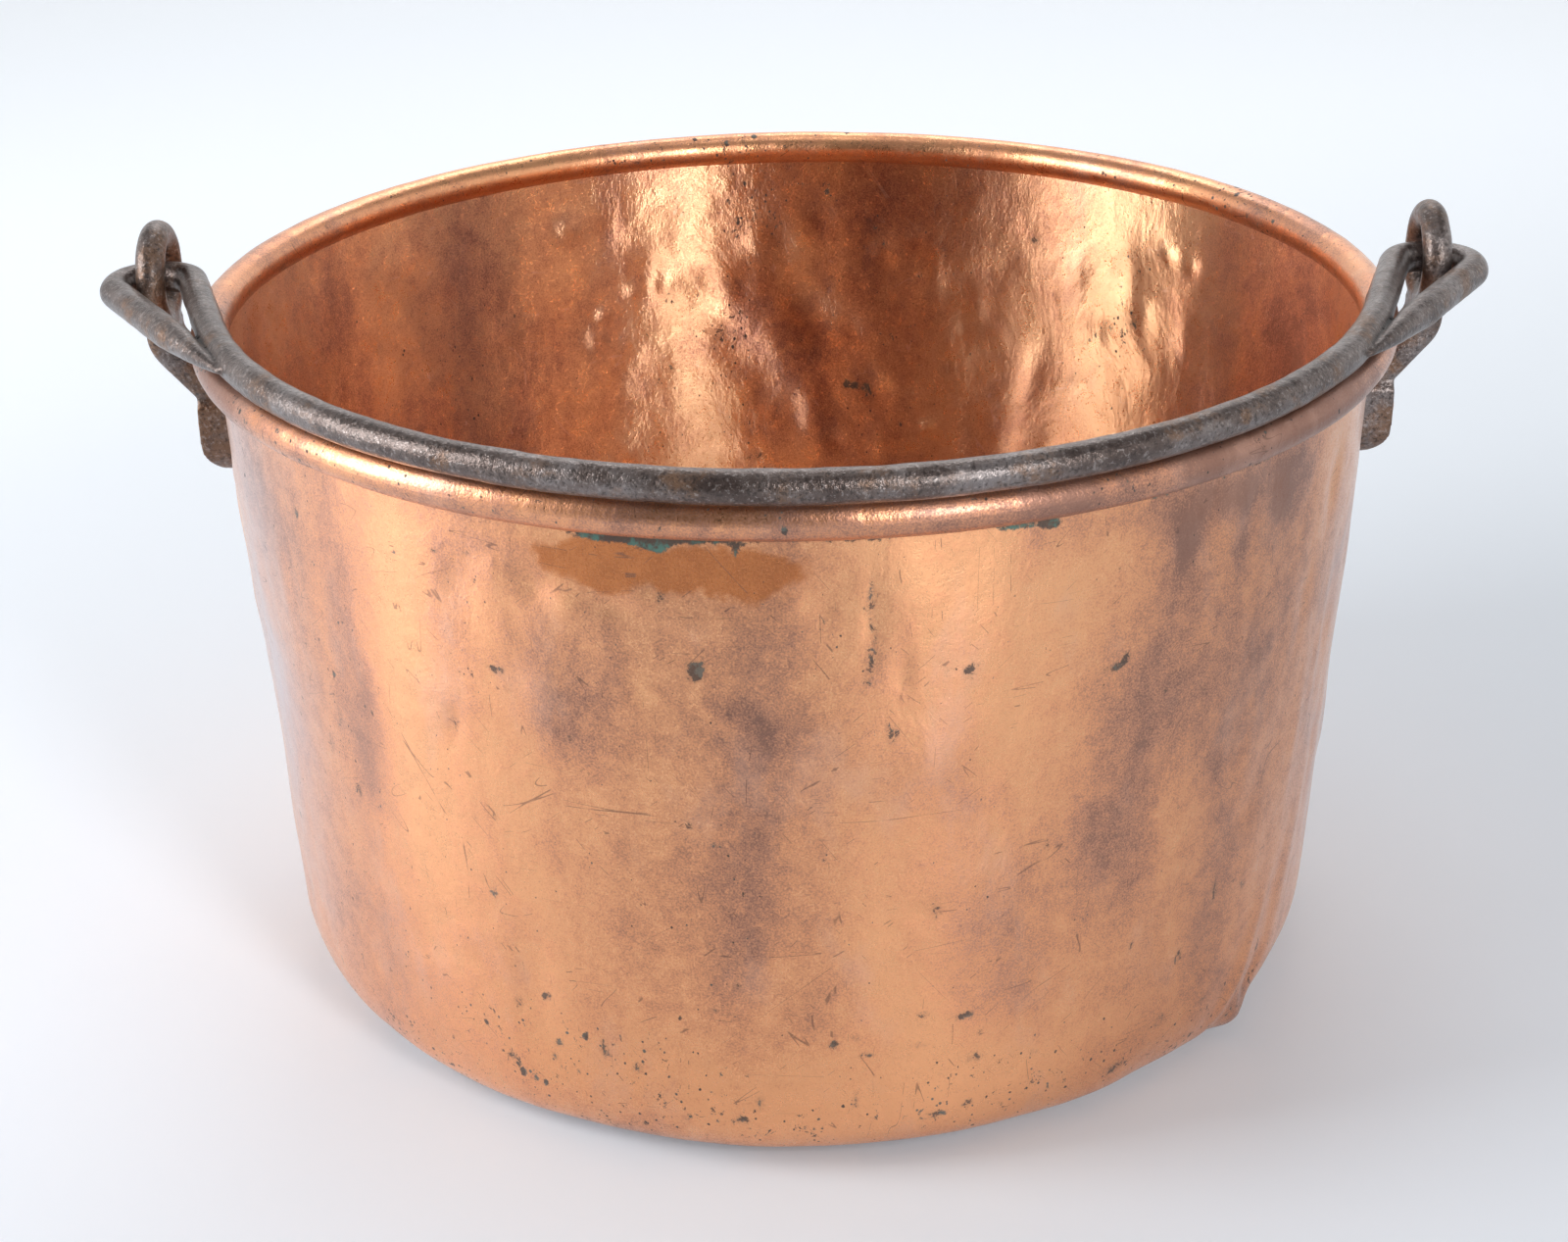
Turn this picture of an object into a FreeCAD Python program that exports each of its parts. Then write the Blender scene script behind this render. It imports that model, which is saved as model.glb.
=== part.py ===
import FreeCAD, Part
import math
import os
import Sketcher
from FreeCAD import Placement, Rotation, Vector

# Copper cauldron with a forged iron bail. The frame's origin is the middle of the base on the pot's
# axis, +Z up, and the two lugs stand on the X axis. At rest the bail lies forward (-Y) on the rim.

doc = FreeCAD.newDocument("cauldron")
sheet = doc.addObject("Spreadsheet::Sheet", "sizes")

SIZES = [
    # the copper vessel
    ("rim_radius", 290.0, "outside radius over the rolled rim"),
    ("rim_height", 335.0, "height of the middle of the roll"),
    ("bead_radius", 9.0, "outside radius of the roll's own section"),
    ("copper", 2.0, "thickness of the copper sheet"),
    ("wall_inset", 3.3, "how far the wall's outside stands inside the roll's middle"),
    ("wall_lean", 3.7, "degrees the wall leans outward"),
    ("foot_round", 42.0, "outside radius of the turn from the base to the wall"),
    ("edge_gap", 0.6, "slit between the roll's free edge and the wall"),
    ("hoop_gap", 0.3, "play of the iron hoop inside the roll"),
    # the forged lugs
    ("eye_stand", 18.0, "how far the eyes' plane stands outside the rim"),
    ("eye_bar", 7.0, "radius of the bar that is bent into the eye"),
    ("eye_radius", 20.5, "radius of the eye along its bar's middle"),
    ("neck_drop", 5.5, "straight length of the neck below the eye's bar"),
    ("neck_bend", 8.0, "inner radius of the neck's bend"),
    ("neck_slant", 41.0, "degrees the neck slants inward to the tongue"),
    ("neck_width", 30.0, "width of the neck along the wall"),
    ("tongue_width", 36.0, "width of the tongue along the wall"),
    ("tongue_stand", 3.0, "how far the tongue's outer face stands outside the rim"),
    ("tongue_drop", 82.5, "depth of the tongue's lower end below the roll's middle"),
    ("tongue_nose", 18.0, "radius of the tongue's lower outer corner"),
    ("forged_edge", 4.0, "rounding of the forged edges"),
    ("seat_gap", 0.05, "play between a lug or rivet head and the wall"),
    # the copper rivets
    ("rivet_rise", 27.5, "height of the rivets above the tongue's lower end"),
    ("rivet_pitch", 19.0, "distance between the two rivets of a lug"),
    ("shank_radius", 4.0, "radius of a rivet's shank"),
    ("shank_gap", 0.15, "play of a shank in its hole"),
    ("head_radius", 6.8, "radius of a rivet's head"),
    ("head_rise", 1.4, "height of a rivet's outer head"),
    ("clinch_rise", 2.2, "height of a rivet's inner head"),
    # the bail
    ("bail_bar", 7.5, "radius of the bail's bar"),
    ("bail_inset", 2.0, "how far the bail's front lies inside the rim's edge"),
    ("nose_inset", 15.0, "how much tighter than the rim the bail's front stretch is"),
    ("nose_sweep", 45.0, "degrees from the front to where the side stretch begins"),
    ("arm_lean", 16.6, "degrees the straight arm leans inward on its way forward"),
    ("arm_bend", 16.0, "radius of the bend where the arm turns out to the eye"),
    ("eye_straight", 1.2, "straight length of the bar in the eye"),
    ("curl_inset", 2.0, "how far inside the eye's plane the end begins to curl"),
    ("curl_ease", 1.5, "how much tighter than the eye the curl round its bar is"),
    ("point_place", 27.8, "degrees forward along the side stretch where the point meets it"),
    ("point_length", 66.0, "length of the drawn-down point"),
    ("point_waist", 5.2, "radius of the point half way along"),
    ("point_tip", 1.6, "radius of the blunt tip"),
    ("rest_gap", 0.3, "play between the folded bail and the rim"),
]
# What follows from the sizes. The bail's side stretch and straight arm join its front stretch to
# the eye, and the bar's end leaves the curl straight for the place where its point meets the side.
FOLLOWS = [
    ("wall_radius", "rim_radius - bead_radius - wall_inset", "outside radius of the wall at the roll"),
    ("eye_reach", "rim_radius + eye_stand", "distance of the eyes' plane from the pot's axis"),
    ("tongue_face", "rim_radius + tongue_stand", "distance of the tongue's outer face from the axis"),
    ("rivet_drop", "tongue_drop - rivet_rise", "depth of the rivets below the roll's middle"),
    ("bail_reach", "rim_radius - bail_inset", "distance of the bail's front from the hinge line"),
    ("nose_radius", "rim_radius - nose_inset", "radius of the bail's front stretch"),
    ("nose_middle", "nose_radius - bail_reach", "where that stretch is centred, along Y"),
    ("nose_across", "sin(nose_sweep * 1 deg)", "how far across the front stretch reaches, of its radius"),
    ("nose_along", "cos(nose_sweep * 1 deg)", "how far forward it ends, of its radius"),
    ("arm_sine", "cos(arm_lean * 1 deg)", "slope of the arm, along Y"),
    ("arm_cosine", "sin(arm_lean * 1 deg)", "slope of the arm, across"),
    ("curl_start", "eye_reach - curl_inset", "distance from the axis where the end begins to curl"),
    ("curl_radius", "eye_radius - curl_ease", "radius of the curl round the eye's bar"),
    ("run_along", "nose_radius * nose_along - nose_middle - arm_bend * (1 - arm_cosine)",
     "what the side stretch and the arm cover along Y"),
    ("run_across", "curl_start - eye_straight - nose_radius * nose_across - arm_bend * arm_sine",
     "what they cover across"),
    ("flank_radius", "(run_along * arm_cosine - run_across * arm_sine) / ((nose_along - arm_cosine)"
     " * arm_cosine - arm_sine * (arm_sine - nose_across))", "radius of the side stretches"),
    ("flank_end", "nose_radius * nose_along - nose_middle - flank_radius * (nose_along - arm_cosine)",
     "distance in front of the hinge line where the arm straightens"),
    ("side_reach", "flank_radius + bail_bar + point_tip / 2", "where the tip lies beside the bar"),
    ("tip_across", "(nose_radius - flank_radius) * nose_across + side_reach * cos(point_place * 1 deg)"
     " - curl_start", "the tip's place across, from the curl's middle"),
    ("tip_along", "nose_middle - (nose_radius - flank_radius) * nose_along"
     " - side_reach * sin(point_place * 1 deg) + curl_radius", "and along Y"),
    ("way_back", "sqrt(tip_across ^ 2 + tip_along ^ 2 - curl_radius ^ 2)", "straight way from curl to tip"),
    ("curl_turn", "(atan2(curl_radius; way_back) - atan2(tip_along; tip_across)) / 1 deg",
     "degrees that the curl turns"),
    ("return_length", "way_back - point_length", "straight stretch between the curl and the point"),
]
for row, (name, value, note) in enumerate(SIZES + FOLLOWS, start=1):
    sheet.set("A%d" % row, name)
    sheet.set("B%d" % row, "=" + value if isinstance(value, str) else repr(value))
    sheet.set("C%d" % row, note)
    sheet.setAlias("B%d" % row, name)
doc.recompute()


def size(name):
    return float(sheet.get(name))


def cell(text):
    """An expression in which every size's name stands for its cell."""
    words = [name for name, _, _ in SIZES + FOLLOWS]
    out, word = "", ""
    for letter in text + " ":
        if letter.isalpha() or letter == "_":
            word += letter
        else:
            out += ("sizes." + word) if word in words else word
            out += letter
            word = ""
    return out.strip()


# Heights and places that several pieces share.
BEAD_CENTRE = "(rim_radius - bead_radius)"
WALL_TOP = ("(rim_height - sqrt((bead_radius - copper / 2) ^ 2"
            " - (rim_radius - bead_radius - wall_radius + copper / 2) ^ 2))")
HINGE = "(rim_height + bead_radius + bail_bar + rest_gap)"
EYE_FOOT = "(" + HINGE + " - eye_radius)"
RIVET_HEIGHT = "(rim_height - rivet_drop)"

rim_height = size("rim_height")
bead_centre = size("rim_radius") - size("bead_radius")
wall_top = rim_height - math.sqrt((size("bead_radius") - size("copper") / 2) ** 2
                                  - (bead_centre - size("wall_radius") + size("copper") / 2) ** 2)
hinge = rim_height + size("bead_radius") + size("bail_bar") + size("rest_gap")
lean = math.radians(size("wall_lean"))


def wall_at(height):
    """Outside radius of the wall at a height above its lower turn."""
    return size("wall_radius") - (wall_top - height) * math.tan(lean)


def new_body(name):
    body = doc.addObject("PartDesign::Body", name)
    body.Label = name
    if "AllowCompound" in body.PropertiesList:
        body.AllowCompound = True
    return body


def sketch_on(body, role, name):
    """A sketch on one of the body's own origin planes."""
    plane = [f for f in body.Origin.OriginFeatures if f.Role == role][0]
    sketch = body.newObject("Sketcher::SketchObject", name)
    sketch.AttachmentSupport = [(plane, "")]
    sketch.MapMode = "FlatFace"
    return sketch


def origin_plane(body, role):
    return [f for f in body.Origin.OriginFeatures if f.Role == role][0]


def bind(sketch, constraint, name, text):
    """Add a dimension to a sketch and tie it to the sheet."""
    index = sketch.addConstraint(constraint)
    sketch.renameConstraint(index, name)
    sketch.setExpression("Constraints." + name, cell(text))
    return index


def corner_at(sketch, geo, end, name, x_text, y_text, x, y):
    """Tie one end of a sketch element to a place given by two expressions."""
    bind(sketch, Sketcher.Constraint("DistanceX", -1, 1, geo, end, x), name + "_x", x_text)
    bind(sketch, Sketcher.Constraint("DistanceY", -1, 1, geo, end, y), name + "_y", y_text)


def line(ax, ay, bx, by):
    return Part.LineSegment(Vector(ax, ay, 0), Vector(bx, by, 0))


def arc(cx, cy, radius, start, stop):
    """An arc that runs anticlockwise from start to stop, in degrees."""
    circle = Part.Circle(Vector(cx, cy, 0), Vector(0, 0, 1), radius)
    return Part.ArcOfCircle(circle, math.radians(start), math.radians(stop))


def polygon(sketch, corners, name):
    """A closed outline whose corners each have a place tied to the sheet."""
    first = sketch.GeometryCount
    count = len(corners)
    for i, (x, y, _, _) in enumerate(corners):
        nx, ny = corners[(i + 1) % count][:2]
        sketch.addGeometry(line(x, y, nx, ny))
    for i in range(count):
        sketch.addConstraint(Sketcher.Constraint("Coincident", first + i, 2,
                                                 first + (i + 1) % count, 1))
    for i, (x, y, x_text, y_text) in enumerate(corners):
        corner_at(sketch, first + i, 1, "%s%s" % (name, "abcdefgh"[i]), x_text, y_text, x, y)


def revolve(body, kind, sketch, name, axis="V_Axis"):
    feature = body.newObject("PartDesign::" + kind, name)
    feature.Profile = sketch
    feature.ReferenceAxis = (sketch, [axis])
    feature.Angle = 360.0
    return feature


# The vessel: one raised copper sheet, its section closed round the axis.
vessel = new_body("cauldron_body")
section = sketch_on(vessel, "XZ_Plane", "wall_section")
foot, copper = size("foot_round"), size("copper")
turn_x = wall_at(foot * (1 - math.sin(lean))) - foot * math.cos(lean)
inner = foot - copper
degrees = size("wall_lean")
top_in = Vector(size("wall_radius") - copper * math.cos(lean), wall_top + copper * math.sin(lean), 0)
section.addGeometry(line(0, 0, turn_x, 0))
section.addGeometry(arc(turn_x, foot, foot, 270, 360 - degrees))
section.addGeometry(line(turn_x + foot * math.cos(lean), foot - foot * math.sin(lean),
                         size("wall_radius"), wall_top))
section.addGeometry(line(size("wall_radius"), wall_top, top_in.x, top_in.y))
section.addGeometry(line(top_in.x, top_in.y, turn_x + inner * math.cos(lean),
                         foot - inner * math.sin(lean)))
section.addGeometry(arc(turn_x, foot, inner, 270, 360 - degrees))
section.addGeometry(line(turn_x, copper, 0, copper))
section.addGeometry(line(0, copper, 0, 0))
C = Sketcher.Constraint
for c in (C("Coincident", 0, 1, -1, 1), C("Horizontal", 0), C("Tangent", 0, 2, 1, 1),
          C("Tangent", 1, 2, 2, 1), C("Coincident", 2, 2, 3, 1), C("Perpendicular", 2, 3),
          C("Coincident", 3, 2, 4, 1), C("Tangent", 4, 2, 5, 2), C("Tangent", 5, 1, 6, 1),
          C("Coincident", 5, 3, 1, 3), C("Horizontal", 6), C("Coincident", 6, 2, 7, 1),
          C("Coincident", 7, 2, 0, 1), C("Vertical", 7), C("Parallel", 2, 4)):
    section.addConstraint(c)
bind(section, C("Radius", 1, foot), "turn", "foot_round")
bind(section, C("DistanceY", 7, 2, 7, 1, copper), "thickness", "copper")
bind(section, C("DistanceX", -1, 1, 2, 2, size("wall_radius")), "mouth", "wall_radius")
bind(section, C("DistanceY", -1, 1, 2, 2, wall_top), "depth", WALL_TOP)
bind(section, C("Angle", 2, 1, -2, 1, lean), "lean", "wall_lean")
wall = revolve(vessel, "Revolution", section, "wall")

# The rim: the same sheet rolled right round an iron hoop, its free edge tucked against the wall.
roll_section = sketch_on(vessel, "XZ_Plane", "roll_section")
for radius in (size("bead_radius"), size("bead_radius") - copper):
    roll_section.addGeometry(Part.Circle(Vector(bead_centre, rim_height, 0), Vector(0, 0, 1), radius))
corner_at(roll_section, 0, 3, "middle", BEAD_CENTRE, "rim_height", bead_centre, rim_height)
roll_section.addConstraint(C("Coincident", 1, 3, 0, 3))
bind(roll_section, C("Radius", 0, size("bead_radius")), "outside", "bead_radius")
bind(roll_section, C("Radius", 1, size("bead_radius") - copper), "inside", "bead_radius - copper")
revolve(vessel, "Revolution", roll_section, "roll")

slit_section = sketch_on(vessel, "XZ_Plane", "slit_section")
gap, bead = size("edge_gap"), size("bead_radius")
low, high = wall_top - bead / 2, wall_top + copper / 2
LOW, HIGH = "(" + WALL_TOP + " - bead_radius / 2)", "(" + WALL_TOP + " + copper / 2)"
FACE = "wall_radius - (" + WALL_TOP + " - %s) * tan(wall_lean * 1 deg)"
polygon(slit_section, [
    (wall_at(low), low, FACE % LOW, LOW),
    (wall_at(low) + gap, low, FACE % LOW + " + edge_gap", LOW),
    (wall_at(high) + gap, high, FACE % HIGH + " + edge_gap", HIGH),
    (wall_at(high), high, FACE % HIGH, HIGH)], "slit")
revolve(vessel, "Groove", slit_section, "slit")

holes = sketch_on(vessel, "YZ_Plane", "rivet_holes")


def rivet_circles(sketch, radius, text):
    for i, side in enumerate((-1, 1)):
        sketch.addGeometry(Part.Circle(Vector(side * size("rivet_pitch") / 2,
                                              rim_height - size("rivet_drop"), 0),
                                       Vector(0, 0, 1), radius))
        corner_at(sketch, i, 3, "ab"[i], "%d * rivet_pitch / 2" % side, RIVET_HEIGHT,
                  side * size("rivet_pitch") / 2, rim_height - size("rivet_drop"))
        bind(sketch, C("Radius", i, radius), "bore_" + "ab"[i], text)


rivet_circles(holes, size("shank_radius") + size("shank_gap"), "shank_radius + shank_gap")
bores = vessel.newObject("PartDesign::Pocket", "bores")
bores.Profile = holes
bores.Type = "ThroughAll"
bores.Midplane = True
doc.recompute()

# The iron hoop that stiffens the rim.
hoop = doc.addObject("Part::Torus", "rim_hoop")
hoop.Label = "rim_hoop"
hoop.setExpression("Radius1", cell(BEAD_CENTRE))
hoop.setExpression("Radius2", cell("bead_radius - copper - hoop_gap"))
hoop.setExpression("Placement.Base.z", cell("rim_height"))


def make_lug(name, turned):
    """A forged lug: a tongue riveted to the wall, a slanted neck and an eye that carries the bail."""
    body = new_body(name)
    bar, reach = size("eye_bar"), size("eye_reach")
    slant = math.radians(size("neck_slant"))
    face, nose = size("tongue_face"), size("tongue_nose")
    drop = rim_height - size("tongue_drop")
    foot_z = hinge - size("eye_radius")
    neck_top = foot_z - bar / 4
    bend, bend_z = size("neck_bend"), foot_z - size("neck_drop")
    bend_x = reach - bar - bend
    wide = bend + 2 * bar
    ox, oz = bend_x + wide * math.cos(slant), bend_z - wide * math.sin(slant)
    ix, iz = bend_x + bend * math.cos(slant), bend_z - bend * math.sin(slant)
    knee = oz - (ox - face) / math.tan(slant)
    root = wall_at(drop) - 2 * copper
    ROOT = "(wall_radius - (" + WALL_TOP + " - (rim_height - tongue_drop)) * tan(wall_lean * 1 deg)" \
        " - 2 * copper)"
    KNEE = "(" + EYE_FOOT + " - neck_drop - (neck_bend + 2 * eye_bar) * sin(neck_slant * 1 deg)" \
        " - (eye_reach - eye_bar - neck_bend + (neck_bend + 2 * eye_bar)" \
        " * cos(neck_slant * 1 deg) - tongue_face) / tan(neck_slant * 1 deg))"

    # The neck leaves the tongue outward, then bends upright under the eye.
    side = sketch_on(body, "XZ_Plane", name + "_side")
    deep_x, deep_z = face - 2 * copper, knee - 2 * copper / math.tan(slant)
    side.addGeometry(line(ix, iz, ix - (iz - deep_z) * math.tan(slant), deep_z))
    side.addGeometry(line(ix - (iz - deep_z) * math.tan(slant), deep_z, deep_x, deep_z))
    side.addGeometry(line(deep_x, deep_z, ox, oz))
    side.addGeometry(arc(bend_x, bend_z, wide, -size("neck_slant"), 0))
    side.addGeometry(line(reach + bar, bend_z, reach + bar, neck_top))
    side.addGeometry(line(reach + bar, neck_top, reach - bar, neck_top))
    side.addGeometry(line(reach - bar, neck_top, reach - bar, bend_z))
    side.addGeometry(arc(bend_x, bend_z, bend, -size("neck_slant"), 0))
    for c in (C("Coincident", 0, 2, 1, 1), C("Horizontal", 1), C("Coincident", 1, 2, 2, 1),
              C("Tangent", 2, 2, 3, 1), C("Tangent", 3, 2, 4, 1), C("Vertical", 4),
              C("Coincident", 4, 2, 5, 1), C("Horizontal", 5), C("Coincident", 5, 2, 6, 1),
              C("Tangent", 6, 2, 7, 2), C("Coincident", 7, 3, 3, 3), C("Tangent", 7, 1, 0, 1),
              C("Parallel", 0, 2)):
        side.addConstraint(c)
    corner_at(side, 4, 2, "eye_out", "eye_reach + eye_bar", EYE_FOOT + " - eye_bar / 4",
              reach + bar, neck_top)
    bind(side, C("DistanceX", 6, 1, 5, 1, 2 * bar), "thick", "2 * eye_bar")
    bind(side, C("DistanceY", 4, 1, 4, 2, neck_top - bend_z), "drop", "neck_drop - eye_bar / 4")
    bind(side, C("DistanceX", -1, 1, 2, 1, deep_x), "deep", "tongue_face - 2 * copper")
    bind(side, C("Radius", 7, bend), "bend", "neck_bend")
    bind(side, C("Radius", 3, wide), "outer_bend", "neck_bend + 2 * eye_bar")
    bind(side, C("Angle", 2, 1, -2, 1, slant), "slant", "neck_slant")
    neck = body.newObject("PartDesign::Pad", name + "_neck")
    neck.Profile = side
    neck.Midplane = True
    neck.setExpression("Length", cell("neck_width"))
    doc.recompute()

    # Its four long edges are hammered round.
    edges = ["Edge%d" % (i + 1) for i, e in enumerate(neck.Shape.Edges)
             if abs(e.Vertexes[0].Z - e.Vertexes[-1].Z) > 0.01]
    soft = body.newObject("PartDesign::Fillet", name + "_soft")
    soft.Base = (neck, edges)
    soft.setExpression("Radius", cell("forged_edge"))
    doc.recompute()

    # Seen from outside, the tongue has a full round end and narrows towards the neck.
    outline = sketch_on(body, "YZ_Plane", name + "_outline")
    outline.setExpression("AttachmentOffset.Base.z", cell(ROOT))
    half, waist = size("tongue_width") / 2, size("neck_width") / 2
    step = (half - waist) / 2
    narrow, shoulder, top = waist - step, knee - 2 * step, knee + 2 * step
    outline.addGeometry(arc(0, drop + half, half, 180, 360))
    outline.addGeometry(line(half, drop + half, half, shoulder))
    outline.addGeometry(line(half, shoulder, narrow, top))
    outline.addGeometry(line(narrow, top, -narrow, top))
    outline.addGeometry(line(-narrow, top, -half, shoulder))
    outline.addGeometry(line(-half, shoulder, -half, drop + half))
    for c in (C("Tangent", 0, 2, 1, 1), C("Vertical", 1), C("Coincident", 1, 2, 2, 1),
              C("Coincident", 2, 2, 3, 1), C("Coincident", 3, 2, 4, 1), C("Coincident", 4, 2, 5, 1),
              C("Vertical", 5), C("Tangent", 5, 2, 0, 1), C("PointOnObject", 0, 3, -2),
              C("Symmetric", 3, 1, 3, 2, -2), C("Horizontal", 1, 2, 4, 2)):
        outline.addConstraint(c)
    bind(outline, C("Radius", 0, half), "half", "tongue_width / 2")
    bind(outline, C("DistanceY", -1, 1, 0, 3, drop + half), "end",
         "rim_height - tongue_drop + tongue_width / 2")
    corner_at(outline, 3, 1, "top", "(3 * neck_width - tongue_width) / 4",
              KNEE + " + (tongue_width - neck_width) / 2", narrow, top)
    bind(outline, C("DistanceY", -1, 1, 2, 1, shoulder), "shoulder",
         KNEE + " - (tongue_width - neck_width) / 2")
    slab = body.newObject("PartDesign::Pad", name + "_tongue")
    slab.Profile = outline
    slab.setExpression("Length", cell("tongue_face - " + ROOT))

    # Its lower outer corner is hammered round.
    corner = sketch_on(body, "XZ_Plane", name + "_nose")
    out, under = face + copper, drop - copper
    corner.addGeometry(arc(face - nose, drop + nose, nose, 270, 360))
    corner.addGeometry(line(face, drop + nose, out, drop + nose))
    corner.addGeometry(line(out, drop + nose, out, under))
    corner.addGeometry(line(out, under, face - nose, under))
    corner.addGeometry(line(face - nose, under, face - nose, drop))
    for c in (C("Coincident", 0, 2, 1, 1), C("Horizontal", 1), C("Coincident", 1, 2, 2, 1),
              C("Vertical", 2), C("Coincident", 2, 2, 3, 1), C("Horizontal", 3),
              C("Coincident", 3, 2, 4, 1), C("Vertical", 4), C("Coincident", 4, 2, 0, 1),
              C("Vertical", 0, 3, 0, 1), C("Horizontal", 0, 3, 0, 2)):
        corner.addConstraint(c)
    corner_at(corner, 0, 3, "middle", "tongue_face - tongue_nose",
              "rim_height - tongue_drop + tongue_nose", face - nose, drop + nose)
    bind(corner, C("Radius", 0, nose), "nose", "tongue_nose")
    corner_at(corner, 2, 2, "clear", "tongue_face + copper", "rim_height - tongue_drop - copper",
              out, under)
    rounding = body.newObject("PartDesign::Pocket", name + "_round")
    rounding.Profile = corner
    rounding.Type = "ThroughAll"
    rounding.Midplane = True

    eye_section = sketch_on(body, "XZ_Plane", name + "_eye_section")
    eye_top = hinge + size("eye_radius")
    eye_section.addGeometry(Part.Circle(Vector(reach, eye_top, 0), Vector(0, 0, 1), bar))
    axis = eye_section.addGeometry(line(0, hinge, reach, hinge), True)
    corner_at(eye_section, 0, 3, "crown", "eye_reach", HINGE + " + eye_radius", reach, eye_top)
    bind(eye_section, C("Radius", 0, bar), "thick", "eye_bar")
    corner_at(eye_section, axis, 1, "pin", "0", HINGE, 0, hinge)
    corner_at(eye_section, axis, 2, "pin_end", "eye_reach", HINGE, reach, hinge)
    revolve(body, "Revolution", eye_section, name + "_eye", "Axis0")

    # The tongue's back follows the wall.
    seat = sketch_on(body, "XZ_Plane", name + "_seat_section")
    play = size("seat_gap")
    near = root - 2 * copper
    NEAR = ROOT + " - 2 * copper"
    lo, hi = drop - 1, rim_height - bead
    LO, HI = "rim_height - tongue_drop - 1", "rim_height - bead_radius"
    SEAT = "wall_radius - (" + WALL_TOP + " - (%s)) * tan(wall_lean * 1 deg) + seat_gap"
    polygon(seat, [
        (near, lo, NEAR, LO), (wall_at(lo) + play, lo, SEAT % LO, LO),
        (wall_at(hi) + play, hi, SEAT % HI, HI), (near, hi, NEAR, HI)], "seat")
    revolve(body, "Groove", seat, name + "_seat")

    drilled = sketch_on(body, "YZ_Plane", name + "_holes")
    rivet_circles(drilled, size("shank_radius") + size("shank_gap"), "shank_radius + shank_gap")
    drill = body.newObject("PartDesign::Pocket", name + "_drill")
    drill.Profile = drilled
    drill.Type = "ThroughAll"
    drill.Midplane = True
    doc.recompute()
    if turned:
        body.Placement = Placement(Vector(0, 0, 0), Rotation(Vector(0, 0, 1), 180))
    return body


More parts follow.
